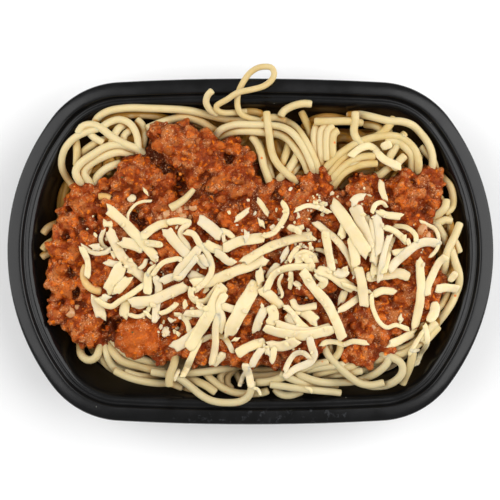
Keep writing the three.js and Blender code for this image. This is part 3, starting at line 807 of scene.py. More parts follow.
def inside_edge(x, y, edge):
    """Distance inside a closed outline, or less than zero outside it."""
    e = np.asarray(edge, float)
    f = np.roll(e, -1, axis=0)
    shape = np.shape(x)
    x, y = np.ravel(x)[:, None], np.ravel(y)[:, None]
    crosses = ((e[:, 1] > y) != (f[:, 1] > y))
    rise = np.where(f[:, 1] == e[:, 1], 1e-9, f[:, 1] - e[:, 1])
    left = x < (f[:, 0] - e[:, 0]) * (y - e[:, 1]) / rise + e[:, 0]
    odd = (crosses & left).sum(1) % 2 == 1
    d = f - e
    t = np.clip(((x - e[:, 0]) * d[:, 0] + (y - e[:, 1]) * d[:, 1]) / (d ** 2).sum(1), 0, 1)
    distance = np.hypot(x - e[:, 0] - t * d[:, 0], y - e[:, 1] - t * d[:, 1]).min(1)
    return np.where(odd, distance, -distance).reshape(shape)


def core_height(x, y):
    """Top of the solid middle that the strands lie on."""
    t = np.clip((rim_inset(x, y) - CORE_RISE_FROM) / CORE_RISE_OVER, 0, 1)
    dome = CORE_LOW + (CORE_HIGH - CORE_LOW) * t * t * (3 - 2 * t)
    for gap_x, gap_y, r in GAPS:
        dome = dome - GAP_DEPTH * np.exp(-((x - gap_x) ** 2 + (y - gap_y) ** 2) / (r * 1.3) ** 2)
    return dome


def clear_of_gaps(path):
    return all(np.hypot(path[:, 0] - x, path[:, 1] - y).min() > r + 1.0 for x, y, r in GAPS)


def filler_path():
    """One loose curve round the tray, clear of the gaps and mostly outside the sauce; or none."""
    start = rng.uniform(0, 2 * math.pi)
    sweep = rng.uniform(0.2, 1.0) * rng.choice([-1, 1])
    inset, drift = rng.uniform(16.5, 40), rng.uniform(-12, 12)
    wave, phase = rng.uniform(0, 4.5), rng.uniform(0, 6.28)
    points = [outline_point(start + sweep * k, inset + drift * k + wave * math.sin(7 * k + phase))
              for k in np.linspace(0, 1, 9)]
    path = spline(points, 1.0)
    if rim_inset(path[:, 0], path[:, 1]).min() < 15.5 or not clear_of_gaps(path):
        return None
    if (inside_edge(path[:, 0], path[:, 1], SAUCE_EDGE) > 3).mean() > 0.45:
        return None
    return path


def wires_mesh(name, lines, step, taper=1.0):
    """Wires for the sweep, with each one's girth and tone, from lines of 3-D points."""
    points, edges, girth, tone = [], [], [], []
    for line in lines:
        line = spline(line, step)
        heads = [line[0] + (line[1] - line[0]) * share for share in (0.1, 0.4)]
        tails = [line[-1] + (line[-2] - line[-1]) * share for share in (0.4, 0.1)]
        line = np.vstack([line[:1], heads, line[1:-1], tails, line[-1:]])
        base = len(points)
        points += line.tolist()
        edges += [(base + i, base + i + 1) for i in range(len(line) - 1)]
        size = rng.uniform(0.94, 1.06)
        shares = np.array([0.62, 0.86, 0.97] + [1.0] * (len(line) - 6) + [0.97, 0.86, 0.62])
        girth += (size * shares * np.linspace(1, taper, len(line))).tolist()
        tone += [rng.uniform(0, 1)] * len(line)
    mesh = bpy.data.meshes.new(name)
    mesh.from_pydata((np.array(points) * MM).tolist(), edges, [])
    set_attribute(mesh, "girth", girth)
    set_attribute(mesh, "tone", tone)
    return mesh


def held_down(path, z):
    """Strands press into one another, most of all under the sauce, so the heap stays low."""
    depth = np.clip(inside_edge(path[:, 0], path[:, 1], SAUCE_EDGE), -2, 5)
    limit = HEAP_TOP - 0.3 * depth - 1.5 * np.maximum(depth + 0.3, 0)
    return limit - np.logaddexp(0, (limit - z) / 1.2) * 1.2


def dipped(path, z):
    """An end that reaches the sauce dips beneath it."""
    for turn in (1, -1):
        if inside_edge(*path[::turn][-1], SAUCE_EDGE) > 0:
            z[::turn][-DIP_STEPS:] -= DIP * np.linspace(0, 1, len(z[-DIP_STEPS:])) ** 1.5
    return z


def tucked(path):
    """Carries an end that reaches the sauce on beneath it."""
    for turn in (1, -1):
        path = path[::turn]
        ahead = path[-1] - path[-3]
        ahead /= np.hypot(*ahead)
        if inside_edge(*(path[-1] + 2.5 * ahead), SAUCE_EDGE) > 0.5:
            path = np.vstack([path, [path[-1] + k * ahead for k in (1, 2, 3, 4, 5)]])
        path = path[::turn]
    return path


def lay_strands(heights):
    """Lays the strands one over another and returns their lines."""
    lines = []
    for _ in range(FILLER_TRIES):
        path = filler_path()
        if path is None:
            continue
        z = rest_on(heights, path, STRAND_RADIUS, STRAND_BEND)
        if z.max() < FILLER_TOP + 0.03 * (path[:, 1].mean() - 40):
            press(heights, path, z, STRAND_RADIUS)
            lines.append(np.column_stack([path, z]))
    for row in STRANDS:
        path = tucked(spline(row, STRAND_STEP))
        z = dipped(path, held_down(path, rest_on(heights, path, STRAND_RADIUS, STRAND_BEND)))
        press(heights, path, z, STRAND_RADIUS)
        lines.append(np.column_stack([path, z]))
    return lines


def core_piece():
    """The middle of the heap, where no strand can be told from another."""
    angles = [2 * math.pi * i / CORE_SIDES for i in range(CORE_SIDES)]
    rings = [[(*outline_point(a, inset), z) for a in angles]
             for inset, z in ((BASE_INSET, 1.2), (21.5, 5), (17.8, 17))]
    for share in (1.0, 0.9, 0.78, 0.64, 0.48, 0.3, 0.12):
        ring = []
        for a in angles:
            x, y = [v * share for v in outline_point(a, CORE_INSET)]
            floor_here = tray_height(rim_inset(x, y)) + WALL
            ring.append((x, y, float(max(core_height(np.float64(x), np.float64(y)), floor_here))))
        rings.append(ring)
    points = [p for ring in rings for p in ring]
    mesh = mesh_from("spaghetti_middle", points, tube_faces(len(rings), CORE_SIDES))
    set_attribute(mesh, "tone", np.full(len(points), 0.2))
    return new_piece("spaghetti_middle", mesh, PASTA)


# ------------------------------------------------------------------ meat sauce

# Large clumps: middle, half-length, half-width, turn in degrees and height of top.
CLUMPS = [
    (-27, 42, 19, 12, -28, 48.0), (-7, 31, 13, 14, 0, 46.5), (-50, 31, 14, 12, 10, 46),
    (-68, 19, 12, 12, 0, 43.5), (-74, -1, 12, 14, 0, 43), (-75, -17, 10, 11, 0, 41.5),
    (-65, -30, 13, 10, -20, 42), (-46, -34, 13, 11, 8, 46), (-56, -8, 15, 14, 0, 44),
    (-31, 2, 17, 16, 0, 45.5), (-25, -24, 16, 14, 0, 45), (-26, -41, 12, 8, 0, 44),
    (-4, 5, 17, 16, 0, 45.5), (0, -24, 17, 15, 0, 45.5), (-2, -41, 15, 9, 0, 44), (20, 19, 15, 14, 0, 45.5),
    (21, -8, 17, 15, 0, 46), (25, -38, 15, 11, 0, 45), (45, 21, 13, 13, 15, 45.5), (63, 23, 14, 12, 0, 46),
    (74, 26, 9, 10, 0, 44.5), (45, -4, 17, 15, 0, 46), (66, 3, 14, 13, 0, 44.5), (70, -16, 12, 12, 0, 44.5),
    (51, -29, 15, 13, 0, 45), (44, -43, 12, 8, -15, 45),
]
# Dark clefts between the clumps: middle, radius and depth.
CLEFTS = [
    (-38.5, 39.5, 1.8, 7), (-36.3, 36.3, 1.9, 6), (-33.5, 33, 2.1, 6), (-30.5, 29.5, 2.4, 6),
    (-28, 25.5, 2.8, 6), (-25, 22, 2.5, 4), (-8.5, 39.5, 2, 8), (-8.8, 36, 1.8, 4), (-50, 14, 3.5, 4),
    (-45, 12.5, 3, 3), (-73, -8, 2.2, 5), (-72, -17, 2.0, 4.5), (-79, -29, 3.5, 3), (-60, -30, 3, 5),
    (-54, -31, 2.6, 5), (-60, -36, 3.5, 4), (-66, -27.5, 2.6, 3), (-52, -19, 2.5, 4), (36.8, 28.5, 2.6, 6),
    (38.5, 24, 2, 4), (-76, 5, 2.4, 4.3), (-67, 8, 2.0, 5), (52.5, 26.5, 1.5, 5), (27, 15, 3, 5),
    (-10, 11, 2.4, 5), (2, 24, 2.4, 3), (11, 22, 2.5, 3), (28.5, -1.5, 3, 4), (47, 4, 2.2, 3),
    (-35, -24, 3, 4), (-30, -31, 3, 3), (56, 24, 2, 3), (57, -2, 2.5, 3), (35, -20, 3, 3), (20, 27, 2, 3),
    (-58, 24, 2.5, 4), (-64, 13, 2, 4), (-80, -2.5, 1.8, 4), (-74, 17.5, 1.8, 5), (-70, 13, 1.8, 4),
    (-78, -22, 2, 5), (-70.5, -22, 1.8, 5), (-62.5, 19.5, 1.8, 5), (-83, -16, 1.6, 4), (70, 14, 1.8, 5),
    (63, -22, 2, 4), (56, -22, 1.8, 4), (44, -38, 1.8, 4), (66, 28, 1.6, 4),
]
CLEFT_STRENGTH = 1.3
SAUCE_ROOT = 33.0
SAUCE_LEAST = 41.0
# The sauce rounds off over this far from its edge.
EDGE_ROUNDING = 4.5
# Lumps of mince: the largest radius of each size, and how many places are tried.
LUMP_SIZES = ((6.5, 90), (4.6, 160), (3.3, 1200), (2.3, 3500))
SAUCE_VOXEL = 0.64


def blurred(field, spread):
    """The field smoothed over a distance in millimetres."""
    n = int(3 * spread / CELL)
    kernel = np.exp(-0.5 * (np.arange(-n, n + 1) * CELL / spread) ** 2)
    kernel /= kernel.sum()
    for axis in (0, 1):
        field = np.apply_along_axis(np.convolve, axis, field, kernel, "same")
    return field


def sauce_height(x, y, bed):
    """Top of the clumps, rounded off at the edge and lowered in the clefts."""
    under = bed[cell_of(x, y)]
    highest = np.maximum(np.full(np.shape(x), SAUCE_LEAST), under + 2.5)
    for cx, cy, half_length, half_width, turn, top in CLUMPS:
        c, s = math.cos(math.radians(turn)), math.sin(math.radians(turn))
        along = ((x - cx) * c + (y - cy) * s) / half_length
        across = ((y - cy) * c - (x - cx) * s) / half_width
        dome = SAUCE_ROOT + (top - SAUCE_ROOT) * np.sqrt(np.clip(1 - along ** 2 - across ** 2, 0, 1))
        highest = np.maximum(highest, dome)
    for cx, cy, r, depth in CLEFTS:
        highest = highest - CLEFT_STRENGTH * depth * np.exp(-((x - cx) ** 2 + (y - cy) ** 2) / r ** 2)
    d = np.clip(inside_edge(x, y, SAUCE_EDGE) / EDGE_ROUNDING, 0, 1)
    return under + 1.0 + (highest - under - 1.0) * np.sqrt(1 - (1 - d) ** 2)


def lump_spots():
    """Where lumps of mince lie, largest first: middle and radius, no two of a size too close."""
    spots = []
    low, high = np.min(SAUCE_EDGE, 0), np.max(SAUCE_EDGE, 0)
    for largest, tries in LUMP_SIZES:
        batch = np.empty((0, 3))
        for x, y in rng.uniform(low, high, (tries, 2)):
            r = largest * rng.uniform(0.75, 1.0)
            apart = np.hypot(batch[:, 0] - x, batch[:, 1] - y)
            if (apart < 0.78 * (batch[:, 2] + r)).any():
                continue
            batch = np.vstack([batch, (x, y, r)])
        depth = inside_edge(batch[:, 0], batch[:, 1], SAUCE_EDGE)
        smooth = (((batch[:, :2] - SMOOTH_MIDDLE) / SMOOTH_HALF) ** 2).sum(1) < 1.15
        spots.append(batch[(depth > batch[:, 2] * 0.6) & ~smooth])
    return np.vstack(spots)


def close_flat(shell, level):
    """Takes off everything below a level and closes the hole with one flat face."""
    cut = bmesh.ops.bisect_plane(shell, geom=shell.verts[:] + shell.edges[:] + shell.faces[:],
                                 plane_co=(0, 0, level), plane_no=(0, 0, -1), clear_outer=True)
    edges = [e for e in cut["geom_cut"] if isinstance(e, bmesh.types.BMEdge)]
    bmesh.ops.holes_fill(shell, edges=edges, sides=0)
    bmesh.ops.triangulate(shell, faces=[f for f in shell.faces if len(f.verts) > 4])


def sphere_pattern(subdivisions):
    """Corners and faces of a ball of radius one."""
    pattern = bmesh.new()
    bmesh.ops.create_icosphere(pattern, subdivisions=subdivisions, radius=1.0)
    corners = np.array([v.co[:] for v in pattern.verts])
    sides = np.array([[v.index for v in f.verts] for f in pattern.faces])
    pattern.free()
    return corners, sides


def bed_of_sauce(bed):
    """The body under the lumps: a closed block on a one-millimetre grid."""
    low, high = np.min(SAUCE_EDGE, 0) - 1, np.max(SAUCE_EDGE, 0) + 1
    gx, gy = np.meshgrid(np.arange(low[0], high[0], 1.0), np.arange(low[1], high[1], 1.0))
    top = np.maximum(sauce_height(gx, gy, bed) - 1.8, SAUCE_ROOT - 1)
    kept = inside_edge(gx, gy, SAUCE_EDGE) > 0.8
    full = kept[:-1, :-1] & kept[:-1, 1:] & kept[1:, 1:] & kept[1:, :-1]
    at = np.arange(gx.size).reshape(gx.shape)
    quads = np.stack([at[:-1, :-1], at[:-1, 1:], at[1:, 1:], at[1:, :-1]], -1)[full]
    edges = {(q[i], q[(i + 1) % 4]) for q in quads.tolist() for i in range(4)}
    under = gx.size
    sides = [(b, a, a + under, b + under) for a, b in sorted(edges) if (b, a) not in edges]
    points = np.vstack([np.column_stack([gx.ravel(), gy.ravel(), top.ravel()]),
                        np.column_stack([gx.ravel(), gy.ravel(), np.full(gx.size, SAUCE_ROOT - 4)])])
    faces = quads.tolist() + (quads[:, ::-1] + under).tolist() + sides
    used = np.unique(np.concatenate([np.ravel(f) for f in faces]))
    renumber = np.zeros(len(points), int)
    renumber[used] = np.arange(len(used))
    return points[used], [[int(renumber[i]) for i in f] for f in faces]


def remeshed(mesh):
    """One skin round everything in a mesh, slightly softened."""
    block = new_object("sauce_block", mesh)
    remesh = block.modifiers.new("skin", "REMESH")
    remesh.mode = "VOXEL"
    remesh.voxel_size = SAUCE_VOXEL * MM
    smooth = block.modifiers.new("soften", "SMOOTH")
    smooth.factor = 0.5
    smooth.iterations = 1
    evaluated = block.evaluated_get(bpy.context.evaluated_depsgraph_get())
    skin = bpy.data.meshes.new_from_object(evaluated)
    bpy.data.objects.remove(block)
    return skin


def sauce_block(bed):
    """The sauce's body and its lumps in one skin with a flat underside, but for a few stray specks."""
    points, faces = bed_of_sauce(bed)
    points = [points]
    corners, sides = sphere_pattern(2)
    surface = sauce_height(GRID_X, GRID_Y, bed) - 1.2
    base = len(points[0])
    for x, y, r in lump_spots():
        turn, lean = rng.uniform(0, math.pi), rng.uniform(-0.5, 0.5)
        stretch = rng.uniform(0.75, 1.5 if r < 3 else 1.2)
        z = surface[cell_of(x, y)] - (rng.uniform(0.15, 0.7) if r < 4.7 else 0.78) * r
        bx, by, bz = (corners * (stretch * r, r / stretch, r * 0.9)).T
        bx, bz = bx * math.cos(lean) - bz * math.sin(lean), bx * math.sin(lean) + bz * math.cos(lean)
        points.append(np.column_stack([x + bx * math.cos(turn) - by * math.sin(turn),
                                       y + bx * math.sin(turn) + by * math.cos(turn), z + bz]))
        faces += (sides + base).tolist()
        base += len(corners)
        press(surface, np.array([[x - 0.1, y], [x + 0.1, y]]), np.array([z, z]), r * 0.9)
    corners, sides = sphere_pattern(4)
    for x, y, *half_sizes in SMOOTH_BALLS:
        points.append(corners * half_sizes + (x, y, SMOOTH_LEVEL))
        faces += (sides + base).tolist()
        base += len(corners)
    skin = remeshed(mesh_from("sauce_block", np.vstack(points), faces))
    trimmed = bmesh.new()
    trimmed.from_mesh(skin)
    close_flat(trimmed, (SAUCE_ROOT - 1) * MM)
    trimmed.to_mesh(skin)
    trimmed.free()
    return skin


def raise_to_mesh(heights, piece):
    """Raises the heights to a finely meshed piece's top."""
    p = points_of(piece.data)
    for dx, dy in ((0, 0), (0.35, 0), (-0.35, 0), (0, 0.35), (0, -0.35)):
        np.maximum.at(heights, cell_of(p[:, 0] + dx, p[:, 1] + dy), p[:, 2])


def store_pits(piece, heights):
    """Keeps how far each point lies below its surroundings, near by and farther off."""
    p = points_of(piece.data)
    at = cell_of(p[:, 0], p[:, 1])
    set_attribute(piece.data, "pit", blurred(heights, 0.9)[at] - p[:, 2])
    set_attribute(piece.data, "hollow", blurred(heights, 3.5)[at] - p[:, 2])


# ------------------------------------------------------------------ grated cheese

# Shreds: width, then points along the middle. Later ones lie over earlier ones.
SHREDS = [
    # left
    (1.2, [(-50.3, 12), (-50, 15.5), (-47.5, 18.8), (-44.5, 20.3), (-40.3, 20.7)]),
    (1.7, [(-43.8, 25.6), (-41.6, 23.2)]),
    (3.6, [(-58.6, 12.5), (-57.6, 9.8)]),
    (1.9, [(-59.5, 9), (-61, 5.5), (-60.5, 2.5), (-58, 0.5)]),
    (2.0, [(-69, 2.5), (-66, 0.3), (-62.5, -0.8), (-58.5, 0), (-57.3, 2)]),
    (2.8, [(-65, 1.8), (-61, 1.8)]),
    (2.4, [(-69, 2), (-66.6, -3), (-66.3, -7), (-66.5, -10.8)]),
    (2.6, [(-59, -4.3), (-56, -5), (-53, -5.5)]),
    (3.8, [(-57.5, 9), (-55, 3), (-52.5, -2), (-47.5, -7.5), (-43.5, -11), (-40, -14)]),
    (4.2, [(-53, 4), (-48, 2.8), (-43, 0.8)]),
    (4.0, [(-58.5, 17.5), (-53, 13), (-47, 7), (-42, 1.5), (-38.5, -2.8)]),
    (5.2, [(-52.5, -5), (-54.5, -10), (-58.3, -16.5)]),
    (3.6, [(-49.3, -10.5), (-52, -13.5), (-55, -17)]),
    (4.4, [(-63.3, -18.5), (-62, -23), (-61, -27.3)]),
    (3.2, [(-61, -18.4), (-57.5, -19)]),
    (4.0, [(-50.3, -19), (-51.5, -24), (-51.4, -27)]),
    (3.6, [(-48, -20), (-45.5, -21.5), (-42.5, -20.5)]),
    (1.7, [(-50, -25.5), (-46, -26.6), (-42.5, -25), (-40.5, -21.5)]),
    (1.6, [(-43, -24), (-40.5, -26.8), (-37, -27)]),
    (2.3, [(-63, -19), (-60, -21.5), (-56.5, -22.3), (-53, -20), (-48, -17), (-44, -14), (-41, -12.5)]),
    (3.4, [(-41.5, -8.5), (-41.9, -13), (-42, -17.5)]),
    (3.0, [(-39, -10), (-37.5, -14), (-38, -19), (-38.5, -24), (-39, -29)]),
    (1.8, [(-42.5, -3), (-43.5, -5.5), (-45.5, -7)]),
    (1.8, [(-38.5, -5.5), (-41, -7.5), (-42, -10)]),
    (4.2, [(-49, -20.8), (-40, -19.8), (-33, -17), (-26, -13.8)]),
    # upper middle
    (2.6, [(-43, 3.6), (-39, 3), (-35.5, 2.6)]),
    (3.4, [(-44.5, 5.5), (-40, 9.2), (-36, 11.3), (-33, 11.5)]),
    (2.9, [(-34, 11.6), (-29, 12.4), (-24, 11.4)]),
    (2.2, [(-24.5, 11), (-27.5, 9.5), (-28.5, 6.5), (-26, 3), (-24.5, 0.5)]),
    (4.0, [(-34.5, 9), (-31, 4.5), (-26.5, -0.5), (-24, -2.5)]),
    (2.0, [(-40, -10), (-36, -5), (-31, -3.2), (-27.5, -2.8)]),
    (3.2, [(-36.5, -12.5), (-33, -10.8), (-30, -9.5)]),
    (4.2, [(-25, -9), (-22, -10.5), (-19, -12)]),
    (2.0, [(-22, -3), (-20, -5), (-18.5, -7)]),
    (3.0, [(-21, -1), (-17.5, -5), (-16.5, -2)]),
    (3.3, [(-20.5, 1.8), (-25, -3), (-29.2, -7.5), (-30, -12)]),
    (2.4, [(-29, -11.3), (-25, -6.5), (-21.5, -2)]),
    (4.0, [(-19, 3.5), (-14.5, 1.2), (-10, 0)]),
    (3.4, [(-14.5, 0), (-12, -1.5), (-9, -4), (-6.5, -3.5)]),
    (2.4, [(-13, 8.4), (-9.5, 7.6), (-6.5, 5.2)]),
    (4.3, [(-21, 13.5), (-16.5, 10), (-12, 5.8)]),
    (4.0, [(-11, 1), (-5, 3.8), (1, 5), (6, 5.6)]),
    (2.3, [(5, 6), (9.5, 7.8), (13, 12), (14.6, 16.5), (12.8, 20.5)]),
    (2.2, [(-2.5, 4.5), (-1.5, 6.5), (-1.8, 8.5)]),
    (4.2, [(-24, -12.8), (-18, -12.5), (-11, -10), (-4, -7.2), (2, -5), (6.5, -3)]),
    (3.6, [(-3, -4.3), (3, -0.8), (9, 2.4), (15, 4.3), (20, 5.8), (25.8, 6.2)]),
    (2.4, [(-26.5, 8), (-23, 7), (-20.5, 3), (-18, 0), (-16, -4), (-16, -8.5), (-18.5, -12.5),
     (-22.5, -15.8)]),
    (2.4, [(-24, -14.5), (-24, -18), (-21.5, -20.5), (-18, -20), (-15.5, -17), (-13, -13.5)]),
    # lower left
    (2.0, [(-37, -25.5), (-33, -23.8), (-29.5, -21)]),
    (2.1, [(-31, -25.4), (-28, -26.3), (-25.5, -29.5), (-24.5, -34)]),
    (3.0, [(-27, -25), (-20.5, -25.2), (-14.5, -25.8)]),
    (2.6, [(-22, -21), (-19, -23), (-15.5, -24)]),
    (3.2, [(-35.8, -34.4), (-33.6, -31.6)]),
    (4.2, [(-31.5, -39.4), (-27, -37), (-22.5, -33.5), (-19, -30)]),
    (2.2, [(-20.5, -37), (-17, -35), (-12, -34.8), (-9.3, -37), (-7, -41.5)]),
    (3.4, [(-10.5, -41.5), (-13, -44), (-15.5, -46.5)]),
    (2.6, [(-20.5, -36), (-23.5, -42), (-26.3, -48), (-28, -51.5)]),
    (1.5, [(-29.3, -48.5), (-30.5, -51), (-31.3, -53)]),
    (4.8, [(-11, -13.5), (-14, -20), (-18, -27.5), (-22.5, -35), (-25.3, -39.8)]),
    (3.0, [(-10, -17), (-12.5, -22), (-11.5, -28), (-12.5, -33)]),
    (2.8, [(-13, -25), (-14.1, -31), (-14.4, -39), (-16, -46.5)]),
    (3.0, [(-11.5, -22), (-8.5, -23), (-5, -24)]),
    (5.4, [(3, -12), (-1.5, -19.5), (-6, -27.5), (-9, -34.3)]),
    (2.0, [(-7, -36.5), (-5, -35)]),
    (3.4, [(3.5, -7), (3.8, -9.5), (4, -13)]),
    (4.0, [(4, -15), (8.5, -18.5), (12.8, -22.8)]),
    (3.5, [(6.5, -22.5), (3.5, -27.5), (2, -32.6)]),
    (4.2, [(8, -22), (9.5, -26), (8, -30)]),
    (3.6, [(15, -25.5), (17, -29), (20, -31)]),
    (2.6, [(14, -22), (17, -25), (20, -29), (23, -31)]),
    (3.2, [(10, -29), (16, -31), (22, -32.4), (28, -31.8), (33, -30.3)]),
    (4.2, [(5.5, -31), (12, -33), (19, -34), (26, -33.4), (34, -31.4)]),
    (3.9, [(-5.5, -41.8), (0, -38.6), (6, -37)]),
    (4.0, [(7, -38), (13, -38.4), (19.3, -36.2)]),
    (2.6, [(10, -38.5), (9.3, -42), (8.6, -45.5)]),
    (2.2, [(6, -38), (7.3, -42.3)]),
    (2.8, [(5, -39), (2.3, -43), (0.2, -47)]),
    (1.7, [(-0.5, -47), (-3, -51.5), (-4.5, -55.5)]),
    (3.0, [(-2.3, -45.5), (-0.8, -50), (0.6, -55.8)]),
    (1.4, [(0.5, -55.5), (3, -56.4), (4.4, -58.8)]),
    (2.9, [(23.8, -34.5), (24.8, -38.5), (26, -42), (24, -45), (18.5, -47.8), (13.5, -51)]),
    (2.1, [(13.8, -49), (16, -44.5), (18.5, -41.6), (21.8, -41.3), (24.3, -43.5)]),
    (2.2, [(28.5, -38.5), (31, -37), (35, -37), (38, -38), (42, -36.7), (48, -37.5)]),
    (1.3, [(22.5, -55.5), (24.3, -56), (25, -57.6)]),
    # middle
    (4.0, [(20, -24), (24, -26), (27, -29)]),
    (2.7, [(16.8, -19.5), (19.5, -23), (27, -22)]),
    (1.3, [(13, -9), (11.6, -13), (13, -17), (12.6, -19)]),
    (2.0, [(16.3, -8), (16.5, -12), (16, -15.3)]),
    (2.6, [(7, -11), (9, -7.5), (11.5, -5)]),
    (2.4, [(12.5, -4), (15.5, 1.5)]),
    (2.4, [(16, -3.5), (19.3, 2)]),
    (4.4, [(18, -4), (22, -1.5), (26.5, -4.5)]),
    (3.6, [(21, -1), (24, -4.5), (24.5, -8)]),
    (1.8, [(26.5, 1), (30.5, -0.3), (32.5, -3.5)]),
    (2.7, [(6.5, -16), (9, -10), (13, -7.2), (19, -6.2), (26, -6.8)]),
    (2.2, [(17.5, -12.5), (20.5, -14)]),
    (2.6, [(15.3, 10.4), (18.5, 9), (21.8, 10.2)]),
    (1.9, [(18, 16.5), (23, 18.6), (28, 17.8), (32.5, 15.8)]),
    (1.8, [(25.5, 20.2), (27.5, 19.6)]),
    (2.2, [(2.8, 21.5), (5, 18.5), (7.3, 14.8)]),
    (2.2, [(-6.3, 12.8), (-3.5, 14.8), (-0.5, 17.2)]),
    (2.3, [(3.8, 13.2), (5.2, 9.8)]),
    (3.2, [(26, -8), (30, -12), (27.5, -15)]),
    (3.9, [(21, -7.5), (25, -14), (31, -21), (35, -29), (37.5, -35.8)]),
    # right
    (3.0, [(36.8, -21.5), (39, -15.5)]),
    (2.8, [(35.5, -24.3), (40, -21.7), (44.5, -18.6)]),
    (4.2, [(26.5, -7.5), (32, -9), (37.5, -12.5), (42.5, -15.8)]),
    (2.7, [(26, 12), (30.5, 8.5), (35, 4.8), (38.7, 0), (41.5, -6), (43, -10)]),
    (3.2, [(30.5, 8.5), (31.2, 3), (32.2, -3), (33, -8)]),
    (3.4, [(38.8, 12), (37.9, 8.5), (36.8, 5.6)]),
    (3.6, [(34, -8), (37, -9), (39.5, -7)]),
    (4.2, [(47, -10.3), (54, -9.6), (60, -9), (65, -10.5)]),
    (1.8, [(37, -13), (44, -15.5), (49.5, -16.5)]),
    (3.9, [(43.5, -6), (45, -12), (46, -18), (46.8, -22.5)]),
    (3.2, [(49.5, -17.8), (54, -16), (59.5, -16.8)]),
    (4.2, [(41.2, 6), (42, 0.5), (42.8, -6)]),
    (3.4, [(51.3, 0), (50.6, -5), (50.4, -10)]),
    (3.6, [(46.8, 15.2), (48, 9), (48.4, 3), (48.4, -2.3)]),
    (3.6, [(49.8, 12.5), (50.3, 6), (50.3, 0), (49.8, -5)]),
    (5.0, [(42.4, 18.8), (44.4, 12.5), (46.6, 6.5), (48, 0.5)]),
    (4.8, [(33.6, 20.2), (38.2, 13.5), (43, 6), (47.2, -1.5)]),
    (3.2, [(40.8, 19.3), (43, 21.5), (46.3, 22.2)]),
    (3.5, [(50.8, 15.5), (52, 9.5), (52.3, 3.5), (51.6, -1.2)]),
    (1.9, [(49.3, 15.5), (50.7, 19), (53.5, 19.9), (55.5, 18)]),
    (2.9, [(51.5, 16.5), (55.5, 14.7), (61.5, 14)]),
    (2.3, [(56.8, 6.8), (54.6, 1.5), (53.3, -4), (52.3, -12)]),
    (2.1, [(58.6, 6), (56.6, 1), (55.6, -3), (53.6, -9)]),
    (2.5, [(54, 10), (58, 8.5), (61.5, 5.8), (64, 3)]),
    (3.0, [(57.5, -0.5), (62, -0.3), (65.5, 1.5)]),
    (3.7, [(56, -8), (59, -4.2), (63, -0.8), (67.5, 2.6), (72, 4), (77.5, 3)]),
    (2.0, [(58.5, 10.5), (63.5, 9.8), (66.8, 7), (67.3, 3.5)]),
    (1.6, [(69, 12.5), (72, 11), (75.5, 9), (76.8, 5), (76, 1), (73, -2.5)]),
    (2.6, [(53.3, 28.8), (53.5, 25), (55, 20.8)]),
    (1.8, [(49.3, -17), (49.8, -22.5), (52, -28), (55.5, -31), (59.5, -30), (65, -32)]),
    (2.2, [(61.8, -26.3), (60.8, -29)]),
    (3.3, [(56.5, -38), (61, -36.3), (67.3, -33)]),
    (3.4, [(68.7, -2.8), (69.2, -10), (69.3, -18), (68.5, -24.5), (67, -31.5)]),
    (3.0, [(80, -2), (77, -4.5), (74.5, -9.5), (72.3, -14), (71.8, -18)]),
    (3.6, [(75.5, -20.5), (75.2, -25), (72.5, -28.6)]),
    (2.1, [(71, -29.5), (72, -35.5), (71.3, -41.5), (68.7, -47.5)]),
    (1.9, [(70.5, -32), (67, -38), (64.5, -42)]),
    (1.6, [(65, -40.5), (69.5, -40.5)]),
    (2.8, [(84, -8.3), (81.5, -12.3)]),
    (3.5, [(75.5, -15.5), (80, -14.8), (85.3, -15.3)]),
    # over the pasta at the far side
    (3.0, [(40.5, 38.6), (44, 41.6), (48, 43), (50.8, 42), (52.5, 39.4), (55.5, 37), (61.3, 34.2)]),
    (3.6, [(53.6, 42.6), (57.4, 44)]),
]

SHRED_STEP = 0.6
SHRED_SIDES = 12
SHRED_SQUARENESS = 2.7
# Shreds are built this much wider than the table says.
SHRED_FULLNESS = 1.06
THIN_SHRED = 2.4
# Warm cheese sinks into itself: the larger, the higher a stack of shreds stands.
SOFTNESS = 13.0


def shred_ring():
    """A section between an oval and a box, one wide and one high."""
    turn = np.linspace(0, 2 * math.pi, SHRED_SIDES, endpoint=False) + math.pi / SHRED_SIDES
    return [0.5 * np.sign(part) * np.abs(part) ** (2 / SHRED_SQUARENESS)
            for part in (np.cos(turn), np.sin(turn))]


def wander(count, spread, size):
    """A smooth random line, for edges that were torn and not cut."""
    raw = rng.normal(0, 1, count + 6 * spread)
    kernel = np.hanning(2 * spread + 3)[1:-1]
    line = np.convolve(raw, kernel / math.sqrt((kernel ** 2).sum()), "same")[3 * spread:3 * spread + count]
    return line * size


def unit(vectors):
    return vectors / np.linalg.norm(vectors, axis=1)[:, None]


